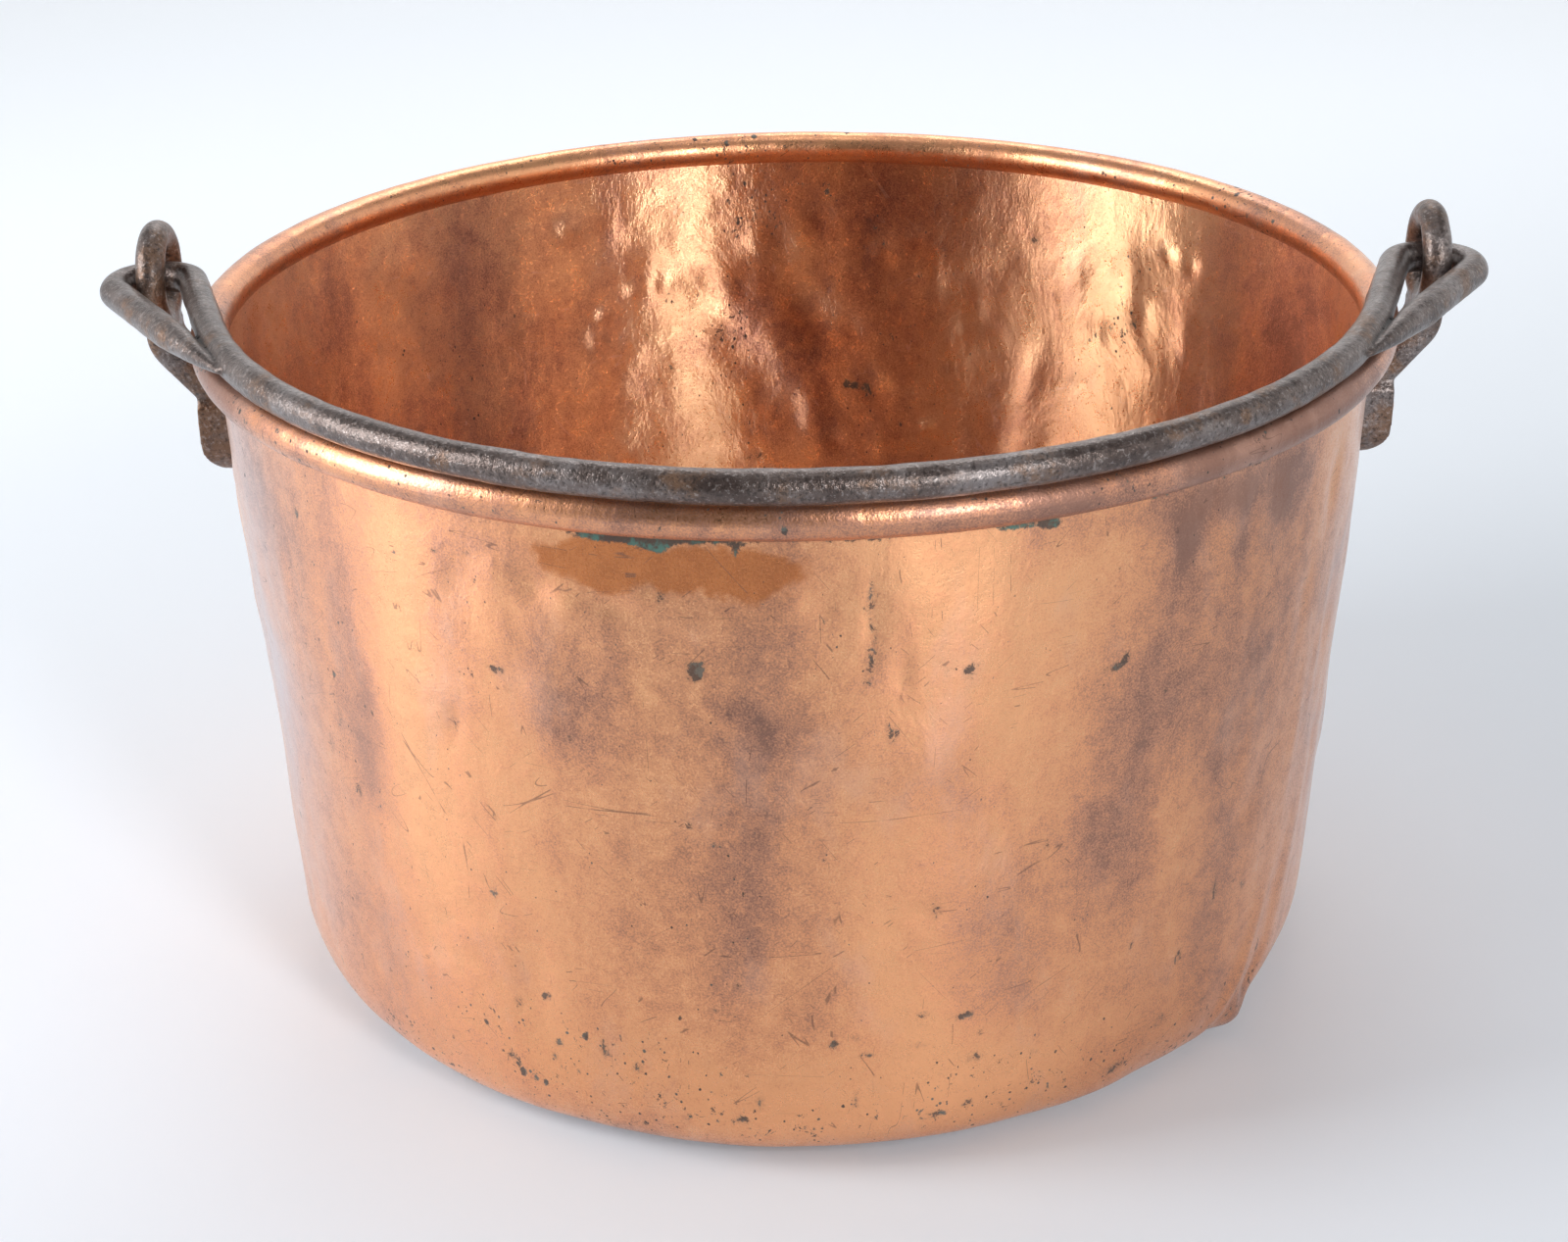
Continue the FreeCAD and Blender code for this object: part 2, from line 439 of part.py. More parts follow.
def make_rivets(name, turned):
    """Two copper rivets through one lug: a domed head on the tongue, a clinched one inside the wall."""
    body = new_body(name + "_one")
    pitch, height = size("rivet_pitch") / 2, rim_height - size("rivet_drop")
    head, shank_r = size("head_radius"), size("shank_radius")
    face, rise, clinch = size("tongue_face"), size("head_rise"), size("clinch_rise")
    # inside radius of the wall at the rivets, measured along the X axis at the rivet's own offset
    bore = wall_at(height) - copper / math.cos(lean)
    inside = math.sqrt(bore ** 2 - pitch ** 2)
    BORE = "(wall_radius - (" + WALL_TOP + " - " + RIVET_HEIGHT + ") * tan(wall_lean * 1 deg)" \
        " - copper / cos(wall_lean * 1 deg))"
    INSIDE = "sqrt(" + BORE + " ^ 2 - (rivet_pitch / 2) ^ 2)"

    def axial(tag):
        sketch = sketch_on(body, "XZ_Plane", name + tag)
        # the plane's normal points to -Y, so a shift of minus the pitch lies at +Y
        sketch.setExpression("AttachmentOffset.Base.z", cell("-rivet_pitch / 2"))
        return sketch

    def dome(sketch, base, base_text, direction, tall, tall_text, first):
        """Half of a domed head: a flat base, a low arc over it and the axis."""
        radius = (head ** 2 + tall ** 2) / (2 * tall)
        tip = base + direction * tall
        centre = base + direction * (tall - radius)
        half = math.degrees(math.asin(head / radius))
        sketch.addGeometry(line(base, height, base, height + head))
        outward = direction > 0
        rim_end, tip_end = (2, 1) if outward else (1, 2)
        sketch.addGeometry(arc(centre, height, radius, 0 if outward else 180 - half,
                               half if outward else 180))
        sketch.addGeometry(line(tip, height, base, height))
        for c in (C("Coincident", first, 2, first + 1, rim_end),
                  C("Coincident", first + 1, tip_end, first + 2, 1),
                  C("Coincident", first + 2, 2, first, 1), C("Vertical", first),
                  C("Horizontal", first + 2), C("PointOnObject", first + 1, 3, first + 2)):
            sketch.addConstraint(c)
        corner_at(sketch, first, 1, "seat", base_text, RIVET_HEIGHT, base, height)
        bind(sketch, C("DistanceY", first, 1, first, 2, head), "wide", "head_radius")
        if direction > 0:
            bind(sketch, C("DistanceX", first, 1, first + 1, tip_end, tall), "tall", tall_text)
        else:
            bind(sketch, C("DistanceX", first + 1, tip_end, first, 1, tall), "tall", tall_text)

    def centre_line(sketch):
        index = sketch.addGeometry(line(0, height, face, height), True)
        corner_at(sketch, index, 1, "line_start", "0", RIVET_HEIGHT, 0, height)
        corner_at(sketch, index, 2, "line_end", "tongue_face", RIVET_HEIGHT, face, height)

    inner_head = axial("_clinch")
    dome(inner_head, inside + copper / 2, INSIDE + " + copper / 2", -1, clinch + copper / 2,
         "clinch_rise + copper / 2", 0)
    centre_line(inner_head)
    revolve(body, "Revolution", inner_head, name + "_inner_head", "Axis0")

    # The clinched head is hammered down to the wall's inner face.
    pressed = sketch_on(body, "XZ_Plane", name + "_pressed")
    play = size("seat_gap")
    far = wall_at(height) + 2 * copper
    FAR = "(wall_radius - (" + WALL_TOP + " - " + RIVET_HEIGHT + ") * tan(wall_lean * 1 deg) + 2 * copper)"
    lo, hi = height - 2 * head, height + 2 * head
    LO, HI = RIVET_HEIGHT + " - 2 * head_radius", RIVET_HEIGHT + " + 2 * head_radius"
    INNER = "wall_radius - (" + WALL_TOP + " - (%s)) * tan(wall_lean * 1 deg)" \
        " - copper / cos(wall_lean * 1 deg) - seat_gap"
    off = copper / math.cos(lean) + play
    polygon(pressed, [
        (wall_at(lo) - off, lo, INNER % LO, LO), (far, lo, FAR, LO),
        (far, hi, FAR, HI), (wall_at(hi) - off, hi, INNER % HI, HI)], "wall")
    revolve(body, "Groove", pressed, name + "_press")

    outer_head = axial("_head")
    dome(outer_head, face, "tongue_face", 1, rise, "head_rise", 0)
    centre_line(outer_head)
    revolve(body, "Revolution", outer_head, name + "_outer_head", "Axis0")

    stem = sketch_on(body, "YZ_Plane", name + "_stem_section")
    stem.setExpression("AttachmentOffset.Base.z", cell(INSIDE + " - clinch_rise / 2"))
    stem.addGeometry(Part.Circle(Vector(pitch, height, 0), Vector(0, 0, 1), shank_r))
    corner_at(stem, 0, 3, "middle", "rivet_pitch / 2", RIVET_HEIGHT, pitch, height)
    bind(stem, C("Radius", 0, shank_r), "stem", "shank_radius")
    shank = body.newObject("PartDesign::Pad", name + "_stem")
    shank.Profile = stem
    shank.setExpression("Length", cell("tongue_face + head_rise / 2 - " + INSIDE + " + clinch_rise / 2"))
    doc.recompute()
    mirror = doc.addObject("Part::Mirroring", name + "_other")
    mirror.Source = body
    mirror.Normal = Vector(0, 1, 0)
    mirror.Base = Vector(0, 0, 0)
    pair = doc.addObject("Part::Compound", name)
    pair.Label = name
    pair.Links = [body, mirror]
    if turned:
        pair.Placement = Placement(Vector(0, 0, 0), Rotation(Vector(0, 0, 1), 180))
    return pair


right_lug = make_lug("right_lug", False)
left_lug = make_lug("left_lug", True)
right_rivets = make_rivets("right_lug_rivets", False)
left_rivets = make_rivets("left_lug_rivets", True)

# The bail: one forged bar, drawn as half of it and mirrored. It follows the rim, turns out through
# the eye, curls round the eye's front bar and comes back along the arm to a point.
bail = new_body("bail_handle")
path = sketch_on(bail, "XY_Plane", "bail_path")
path.setExpression("AttachmentOffset.Base.z", cell(HINGE))
reach_y, nose_r, flank_r = size("bail_reach"), size("nose_radius"), size("flank_radius")
sweep, arm_y = math.radians(size("nose_sweep")), size("flank_end")
nose_c = Vector(0, nose_r - reach_y, 0)
flank_c = nose_c - Vector(math.sin(sweep), -math.cos(sweep), 0) * (flank_r - nose_r)
end_angle = math.asin((-arm_y - flank_c.y) / flank_r)
flank_e = flank_c + Vector(math.cos(end_angle), math.sin(end_angle), 0) * flank_r
heading = end_angle + math.pi / 2
arm_r, curl_x, curl_r = size("arm_bend"), size("curl_start"), size("curl_radius")
corner_x = flank_e.x + arm_y / math.tan(heading)
back_off = arm_r * math.tan(heading / 2)
bend_s = Vector(corner_x - back_off * math.cos(heading), -back_off * math.sin(heading), 0)
bend_e = Vector(corner_x + back_off, 0, 0)
curl = math.radians(size("curl_turn"))
curl_e = Vector(curl_x + curl_r * math.sin(curl), -curl_r * (1 - math.cos(curl)), 0)
way = Vector(math.cos(curl), -math.sin(curl), 0)
point_s = curl_e + way * size("return_length")
point_e = point_s + way * size("point_length")
path.addGeometry(arc(nose_c.x, nose_c.y, nose_r, 270, 270 + size("nose_sweep")))
path.addGeometry(arc(flank_c.x, flank_c.y, flank_r, 270 + size("nose_sweep"),
                     360 + math.degrees(end_angle)))
path.addGeometry(line(flank_e.x, flank_e.y, bend_s.x, bend_s.y))
path.addGeometry(arc(bend_e.x, -arm_r, arm_r, 90, 90 + math.degrees(heading)))
path.addGeometry(line(bend_e.x, 0, curl_x, 0))
path.addGeometry(arc(curl_x, -curl_r, curl_r, 90 - size("curl_turn"), 90))
path.addGeometry(line(curl_e.x, curl_e.y, point_s.x, point_s.y))
for c in (C("PointOnObject", 0, 3, -2), C("PointOnObject", 0, 1, -2), C("Tangent", 0, 2, 1, 1),
          C("Tangent", 1, 2, 2, 1), C("Tangent", 2, 2, 3, 2), C("Tangent", 3, 1, 4, 1),
          C("Horizontal", 4), C("PointOnObject", 4, 2, -1), C("Tangent", 4, 2, 5, 2),
          C("Tangent", 5, 1, 6, 1)):
    path.addConstraint(c)
bind(path, C("DistanceY", 0, 1, -1, 1, reach_y), "reach", "bail_reach")
bind(path, C("Radius", 0, nose_r), "nose", "nose_radius")
bind(path, C("Radius", 1, flank_r), "flank", "flank_radius")
bind(path, C("Angle", 0, sweep), "sweep", "nose_sweep")
bind(path, C("DistanceY", 1, 2, -1, 1, arm_y), "arm", "flank_end")
bind(path, C("Radius", 3, arm_r), "bend", "arm_bend")
bind(path, C("DistanceX", -1, 1, 4, 2, curl_x), "curl_x", "curl_start")
bind(path, C("Radius", 5, curl_r), "curl", "curl_radius")
bind(path, C("Angle", 5, curl), "turn", "curl_turn")
bind(path, C("Distance", 6, size("return_length")), "back", "return_length")
bar_section = sketch_on(bail, "YZ_Plane", "bar_section")
bar_section.addGeometry(Part.Circle(Vector(-reach_y, hinge, 0), Vector(0, 0, 1), size("bail_bar")))
corner_at(bar_section, 0, 3, "middle", "-bail_reach", HINGE, -reach_y, hinge)
bind(bar_section, C("Radius", 0, size("bail_bar")), "thick", "bail_bar")
doc.recompute()
rod = bail.newObject("PartDesign::AdditivePipe", "rod")
rod.Profile = bar_section
rod.Spine = (path, ["Edge%d" % (i + 1) for i in range(7)])
doc.recompute()

# The end is drawn down to a blunt point in line with the return stretch.
point_line = sketch_on(bail, "XY_Plane", "point_line")
point_line.setExpression("AttachmentOffset.Base.z", cell(HINGE))
CURL_X = "(curl_start + curl_radius * sin(curl_turn * 1 deg)"
CURL_Y = "(-curl_radius * (1 - cos(curl_turn * 1 deg))"
point_line.addGeometry(line(point_s.x, point_s.y, point_e.x, point_e.y))
corner_at(point_line, 0, 1, "start", CURL_X + " + return_length * cos(curl_turn * 1 deg))",
          CURL_Y + " - return_length * sin(curl_turn * 1 deg))", point_s.x, point_s.y)
corner_at(point_line, 0, 2, "finish",
          CURL_X + " + (return_length + point_length) * cos(curl_turn * 1 deg))",
          CURL_Y + " - (return_length + point_length) * sin(curl_turn * 1 deg))",
          point_e.x, point_e.y)
doc.recompute()
rings = []
for i, (along, text) in enumerate(((0.0, "bail_bar"), (0.5, "point_waist"), (1.0, "point_tip"))):
    ring = bail.newObject("Sketcher::SketchObject", "point_ring_" + "abc"[i])
    ring.AttachmentSupport = [(point_line, "Edge1")]
    ring.MapMode = "NormalToEdge"
    ring.MapPathParameter = along
    ring.addGeometry(Part.Circle(Vector(0, 0, 0), Vector(0, 0, 1), size(text)))
    ring.addConstraint(C("Coincident", 0, 3, -1, 1))
    bind(ring, C("Radius", 0, size(text)), "ring", text)
    rings.append(ring)
doc.recompute()
point = bail.newObject("PartDesign::AdditiveLoft", "point")
point.Profile = rings[0]
point.Sections = rings[1:]
doc.recompute()
both = bail.newObject("PartDesign::Mirrored", "both_halves")
both.Originals = [rod, point]
both.MirrorPlane = (origin_plane(bail, "YZ_Plane"), [""])
bail.Tip = both
doc.recompute()

NODES = [vessel, hoop, left_lug, right_lug, left_rivets, right_rivets, bail]
for item in doc.Objects:
    if "Invalid" in item.State or "Error" in item.State:
        raise RuntimeError("not computed: " + item.Label + " " + str(item.State))
SOLIDS = {"left_lug_rivets": 2, "right_lug_rivets": 2}
for node in NODES:
    shape = node.Shape
    if shape.isNull() or not shape.isValid():
        raise RuntimeError("bad shape: " + node.Label)
    if len(shape.Solids) != SOLIDS.get(node.Label, 1):
        raise RuntimeError("%s has %d solids" % (node.Label, len(shape.Solids)))

os.makedirs("parts", exist_ok=True)
for node in NODES:
    node.Shape.exportStep("parts/" + node.Label + ".step")
    print("%-18s volume %10.0f mm3, box %s" % (node.Label, node.Shape.Volume, node.Shape.BoundBox))
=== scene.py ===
import math
import random

import bpy
import numpy as np
from mathutils import Matrix, Vector, noise


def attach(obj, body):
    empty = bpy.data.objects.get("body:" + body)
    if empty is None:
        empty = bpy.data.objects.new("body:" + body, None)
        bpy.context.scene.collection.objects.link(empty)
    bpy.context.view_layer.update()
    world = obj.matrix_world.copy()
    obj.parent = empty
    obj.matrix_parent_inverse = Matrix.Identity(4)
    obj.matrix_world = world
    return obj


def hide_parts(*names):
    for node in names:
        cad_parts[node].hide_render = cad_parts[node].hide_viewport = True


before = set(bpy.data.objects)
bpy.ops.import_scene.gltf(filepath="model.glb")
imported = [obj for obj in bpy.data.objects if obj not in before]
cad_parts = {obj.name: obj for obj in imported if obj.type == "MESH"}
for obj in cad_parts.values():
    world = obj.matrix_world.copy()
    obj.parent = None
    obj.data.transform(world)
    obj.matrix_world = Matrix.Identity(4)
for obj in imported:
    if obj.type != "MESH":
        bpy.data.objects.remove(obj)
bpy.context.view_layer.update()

# Copper cauldron with a forged iron bail. The copper is a worn, dented, tarnished sheet with a
# rolled rim, and the iron is hand-forged bar. Lengths are metres unless a comment says mm.

scene = bpy.context.scene
scene.view_settings.view_transform = "Standard"

MM = 0.001
SHEET = 0.002           # thickness of the copper
RIM_Z = 0.335           # height of the middle of the rim's roll
BEAD_R = 0.009          # radius of the roll
BEAD_AT = 0.281         # radius of the circle that the roll follows
BASE_EDGE_R = 0.215     # the base's mesh ends and the wall's begins here
FLOOR_GAP = 0.0003      # the underside stays this far above the floor
ARC_MM = 268            # the wall's mean radius in mm, which turns an angle into a length
LUG_AZIMUTHS = (-90, 90)
LUG_FOOT_R = 0.2772     # the lugs' tongues lie on the wall at this radius
LUG_FOOT_TOP = 0.32     # and below this height

BASE_ROWS, WALL_ROWS, AROUND = 44, 152, 640     # of the vessel's meshes
BEAD_AROUND, BEAD_RING = 900, 40                # of the roll's mesh
SECTION_POINTS, BLEND_POINTS = 1600, 61         # of the vessel's section, and of its smoothing


# ---------------------------------------------------------------- camera, as the photograph's
LENS_MM, SENSOR_MM = 65.443, 36.0
CAMERA_AT = (0.002, -1.330867, 0.769502)
CAMERA_RIGHT = (0.999860, -0.000491, -0.016702)
CAMERA_UP = (0.015400, 0.414956, 0.909711)
CAMERA_AHEAD = (-0.006484, 0.909841, -0.414905)


def make_camera():
    data = bpy.data.cameras.new("camera")
    data.lens, data.sensor_width, data.sensor_fit = LENS_MM, SENSOR_MM, "HORIZONTAL"
    data.clip_start, data.clip_end = 0.05, 60.0
    cam = bpy.data.objects.new("camera", data)
    scene.collection.objects.link(cam)
    axes = Matrix((CAMERA_RIGHT, CAMERA_UP, -Vector(CAMERA_AHEAD)))
    cam.matrix_world = Matrix.Translation(CAMERA_AT) @ axes.transposed().to_4x4()
    scene.camera = cam


make_camera()


# ---------------------------------------------------------------- materials
class Tree:
    """Short names for the nodes of one material."""

    def __init__(self, name):
        self.mat = bpy.data.materials.new(name)
        self.mat.use_nodes = True
        self.nodes, self.links = self.mat.node_tree.nodes, self.mat.node_tree.links
        self.nodes.clear()
        self.out = self.nodes.new("ShaderNodeOutputMaterial")
        self.place = self.nodes.new("ShaderNodeTexCoord").outputs["Object"]

    def put(self, socket, value):
        """Link a socket to value, or set it there."""
        if isinstance(value, bpy.types.NodeSocket):
            self.links.new(value, socket)
        elif isinstance(value, tuple) and len(value) == 3 and socket.type == "RGBA":
            socket.default_value = (*value, 1.0)
        else:
            socket.default_value = value

    def node(self, kind, props=None, **inputs):
        n = self.nodes.new("ShaderNode" + kind)
        for key, value in (props or {}).items():
            setattr(n, key, value)
        for key, value in inputs.items():
            self.put(n.inputs[key.replace("_", " ")], value)
        return n.outputs[0]

    def stretch(self, x, y, z, shift=0.0, turn=0.0):
        """The place on the object, turned about y by degrees, scaled and shifted."""
        place = self.place
        if turn:
            place = self.node("VectorRotate", {"rotation_type": "Y_AXIS"}, Vector=place,
                              Angle=math.radians(turn))
        return self.node("Mapping", Vector=place, Scale=(x, y, z),
                         Location=(shift, shift * 0.7, shift * 1.3))

    def noise(self, scale, detail, rough, at=None, warp=0.0):
        return self.node("TexNoise", Vector=at or self.place, Scale=scale, Detail=detail,
                         Roughness=rough, Distortion=warp)

    def cells(self, scale, at):
        return self.node("TexVoronoi", Vector=at, Scale=scale)

    def ramp(self, fac, *stops):
        """Colours in between stops, which are (position, colour)."""
        n = self.nodes.new("ShaderNodeValToRGB")
        while len(n.color_ramp.elements) < len(stops):
            n.color_ramp.elements.new(0.5)
        for e, (at, colour) in zip(n.color_ramp.elements, stops):
            e.position, e.color = at, (*colour, 1.0)
        self.put(n.inputs["Fac"], fac)
        return n.outputs["Color"]

    def step(self, value, low, high, reach=1.0):
        """0 at low, reach at high and smooth between them, where low may be above high."""
        n = self.nodes.new("ShaderNodeMapRange")
        n.interpolation_type = "SMOOTHSTEP"
        for key, v in (("Value", value), ("From Min", low), ("From Max", high), ("To Max", reach)):
            self.put(n.inputs[key], v)
        return n.outputs[0]

    def math(self, kind, a, b=0.0):
        n = self.nodes.new("ShaderNodeMath")
        n.operation = kind
        self.put(n.inputs[0], a)
        self.put(n.inputs[1], b)
        return n.outputs[0]

    def sum(self, a, *more):
        for b in more:
            a = self.math("ADD", a, b)
        return a

    def times(self, a, b):
        return self.math("MULTIPLY", a, b)

    def minus(self, a, b):
        return self.math("SUBTRACT", a, b)

    def most(self, a, *more):
        for b in more:
            a = self.math("MAXIMUM", a, b)
        return a

    def swing(self, value, reach, middle=0.5):
        """How far value is from its middle, times reach."""
        return self.times(self.minus(value, middle), reach)

    def mix(self, fac, a, b):
        n = self.nodes.new("ShaderNodeMix")
        n.data_type = "RGBA"
        self.put(n.inputs[0], fac)
        self.put(n.inputs[6], a)
        self.put(n.inputs[7], b)
        return n.outputs[2]

    def bump(self, height, strength, reach):
        return self.node("Bump", Strength=strength, Distance=reach, Height=height)

    def layer(self, name):
        """A value painted on the mesh's points."""
        n = self.nodes.new("ShaderNodeAttribute")
        n.attribute_name = name
        return n.outputs["Fac"]

    def split(self):
        n = self.nodes.new("ShaderNodeSeparateXYZ")
        self.put(n.inputs[0], self.place)
        return n.outputs

    def surface(self, **inputs):
        self.put(self.out.inputs["Surface"], self.node("BsdfPrincipled", **inputs))
        return self.mat


# shades run from bare to brown metal, and spot is the paler of the two shades in a stain
OUTSIDE = {"shades": ((0.87, 0.42, 0.205), (0.765, 0.345, 0.175), (0.53, 0.252, 0.155),
                      (0.335, 0.172, 0.122)),
           "spot": (0.085, 0.10, 0.085), "scratch": (0.17, 0.09, 0.065), "scratched": 0.6,
           "coat": 0.4}
INSIDE = {"shades": ((0.94, 0.57, 0.32), (0.80, 0.41, 0.235), (0.56, 0.255, 0.168),
                     (0.36, 0.165, 0.118)),
          "spot": (0.030, 0.022, 0.018), "scratch": (0.95, 0.62, 0.45), "scratched": 0.4,
          "coat": 0.3}
SHADES_AT = (0.0, 0.34, 0.70, 1.0)
# the second colour below tints the painted reflection and the bloom
PALE, BLOOM_AND_REFLECTION_TINT, AMBER_TINT = (0.72, 0.44, 0.33), (0.66, 0.52, 0.51), (0.48, 0.145, 0.035)
HALO, SPOT = (0.26, 0.145, 0.10), (0.045, 0.032, 0.025)
# the first colour below is painted shade, near black, for the gaps under the rim and beside the
# lugs
GAP_SHADE, TEAL = (0.035, 0.032, 0.027), (0.085, 0.23, 0.185)
# sets of scratches: stretch in x, y and z, turn about y in degrees, shift, and the level of a
# broad noise at which they show
SCRATCHES = [(7, 7, 120, 0, 2.0, 0.42), (75, 75, 3, 0, 7.0, 0.60), (85, 30, 4, 38, 4.0, 0.55),
             (80, 30, 4, -52, 13.0, 0.46)]


def stains(t, streak, some, ragged):
    """Listed stains with ragged edges, and pits and blots that gather in groups."""
    place = t.layer("stain")
    stain = t.sum(t.times(place, 0.85), t.swing(ragged, 2.2))
    halo = t.times(t.step(place, 0.05, 0.6), t.step(stain, 0.2, 0.7, 0.3))
    stain = t.times(t.step(place, 0.12, 0.4), t.step(stain, 0.55, 0.68))
    gather = t.sum(t.step(streak, 0.44, 0.62, 0.3), t.step(some, 0.45, 0.6, 0.5))
    gather = t.sum(t.math("MINIMUM", t.layer("specks"), 0.8), gather)
    uneven = t.sum(t.times(ragged, 0.6), t.times(gather, -0.14))
    pits = t.step(t.sum(t.cells(85.0, t.stretch(1, 1, 0.62, 1.7)), uneven), 0.265, 0.225)
    small = t.step(t.sum(t.cells(230.0, t.stretch(1, 1, 0.8, 4.7)), uneven), 0.30, 0.25)
    blot = t.step(t.sum(ragged, t.times(gather, 0.10)), 0.72, 0.75)
    return t.most(pits, small, blot, t.times(stain, 0.92)), halo


def scratches(t):
    """Single fine lines in a few directions, here and there on the wall and not on the base."""
    where = t.noise(15.0, 2.0, 0.5, t.stretch(1, 1, 1, 30.0))
    on_wall = t.step(t.split()[2], 0.006, 0.03)
    sets = []
    for x, y, z, turn, shift, level in SCRATCHES:
        line = t.noise(1.0, 1.0, 0.5, t.stretch(x, y, z, shift, turn), 0.06)
        line = t.step(t.math("ABSOLUTE", t.minus(line, 0.5)), 0.0055, 0.0015)
        apart = t.math("ABSOLUTE", t.minus(where, level))
        sets.append(t.times(line, t.step(apart, 0.016, 0.010)))
    return t.times(t.most(*sets), on_wall)


def copper(name, side, age=0.0, drawn=0.75):
    """Old copper: warm bare metal, brown tarnish in bands and clouds, stains, pits, scratches.

    age browns all of it, and drawn is how much lights are drawn out upright."""
    t = Tree(name)
    streak = t.noise(8.5, 4.0, 0.6, t.stretch(1, 1, 0.24, 3.1), 0.5)
    cloud = t.noise(17.0, 6.0, 0.68, t.stretch(1, 1, 0.8, 6.0), 0.35)
    some = t.noise(40.0, 3.0, 0.6, t.stretch(1, 1, 1, 5.0))
    ragged = t.noise(170.0, 6.0, 0.8, t.stretch(1, 1, 0.8, 2.0), 0.5)
    fine = t.noise(100.0, 5.0, 0.7)
    grain = t.noise(1150.0, 1.0, 0.6)

    # how brown: listed patches, upright bands, clouds and grain
    # the listed patches hold tarnish, painted highlights and painted shade
    brown_and_painted_light = t.sum(t.times(t.layer("tarnish_and_painted_light"), 0.8), t.swing(streak, 1.8), t.swing(cloud, 1.7),
                  t.swing(fine, 1.1), t.sum(t.swing(grain, 1.3), 0.34 + age))
    brown_and_painted_light = t.most(t.times(brown_and_painted_light, 0.86), 0.0)
    colour = t.ramp(brown_and_painted_light, *zip(SHADES_AT, side["shades"]))
    pale = t.step(t.noise(24.0, 4.0, 0.65, t.stretch(1, 1, 0.5, 9.0)), 0.52, 0.72, 0.28)
    colour = t.mix(pale, colour, PALE)
    # painted reflection: a pale lilac tint on the low edge and both flanks, and a pale bloom at
    # the back
    bloom_and_reflection = t.sum(t.step(t.sum(streak, t.times(cloud, 0.5)), 0.55, 0.95), 0.3)
    colour = t.mix(t.times(t.layer("bloom_and_reflection"), bloom_and_reflection), colour, BLOOM_AND_REFLECTION_TINT)

    amber = t.sum(t.layer("amber"), t.swing(t.sum(cloud, some), 0.95, 1.0))
    amber = t.times(t.step(amber, 0.34, 0.60, 0.85), t.step(t.layer("amber"), 0.05, 0.40))
    amber = t.most(amber, t.times(t.layer("amber"), 0.35))
    colour = t.mix(amber, colour, AMBER_TINT)

    spots, halo = stains(t, streak, some, ragged)
    colour = t.mix(halo, colour, HALO)
    colour = t.mix(t.times(spots, 0.94), colour,
                   t.mix(t.step(fine, 0.50, 0.58), SPOT, side["spot"]))
    colour = t.mix(t.times(scratches(t), side["scratched"]), colour, side["scratch"])

    # painted shade, a near-black band with verdigris in it, where the wall meets the rim and
    # beside the lugs
    gap_shade = t.step(t.sum(t.layer("verdigris"), t.swing(ragged, 1.4)), 0.42, 0.60)
    teal = t.times(gap_shade, t.step(fine, 0.46, 0.58))
    colour = t.mix(t.times(gap_shade, 0.9), colour, GAP_SHADE)
    colour = t.mix(t.times(teal, 0.75), colour, TEAL)

    # stains and the painted shade band are rougher and less like metal
    dirt_and_shade = t.most(spots, gap_shade)
    rough = t.sum(0.32, t.times(brown_and_painted_light, 0.13), t.times(dirt_and_shade, 0.3),
                  t.swing(t.sum(fine, grain), 0.28, 1.0))
    rough = t.minus(rough, t.times(amber, 0.10))
    height = t.sum(fine, t.times(grain, 0.3), t.times(cloud, 4.0))
    # rubbed round and round for years, so lights are drawn out into upright streaks
    around = t.node("Tangent", {"direction_type": "RADIAL", "axis": "Z"})
    return t.surface(Base_Color=colour, Metallic=t.minus(1.0, t.times(dirt_and_shade, 0.8)),
                     Roughness=rough, Normal=t.bump(height, 0.3, 0.0009), Tangent=around,
                     Anisotropic=drawn, Anisotropic_Rotation=0.25, Coat_Weight=side["coat"],
                     Coat_Roughness=0.22)


IRON_SHADES = ((0.34, (0.082, 0.057, 0.049)), (0.5, (0.140, 0.106, 0.094)),
               (0.68, (0.215, 0.185, 0.178)))
RUST, FLECK, PIT = (0.20, 0.105, 0.055), (0.42, 0.37, 0.35), (0.035, 0.026, 0.023)
# the second colour below is painted shade, near black, for the creases
IRON_GREEN, IRON_CREASE_SHADE = (0.085, 0.22, 0.175), (0.012, 0.009, 0.008)


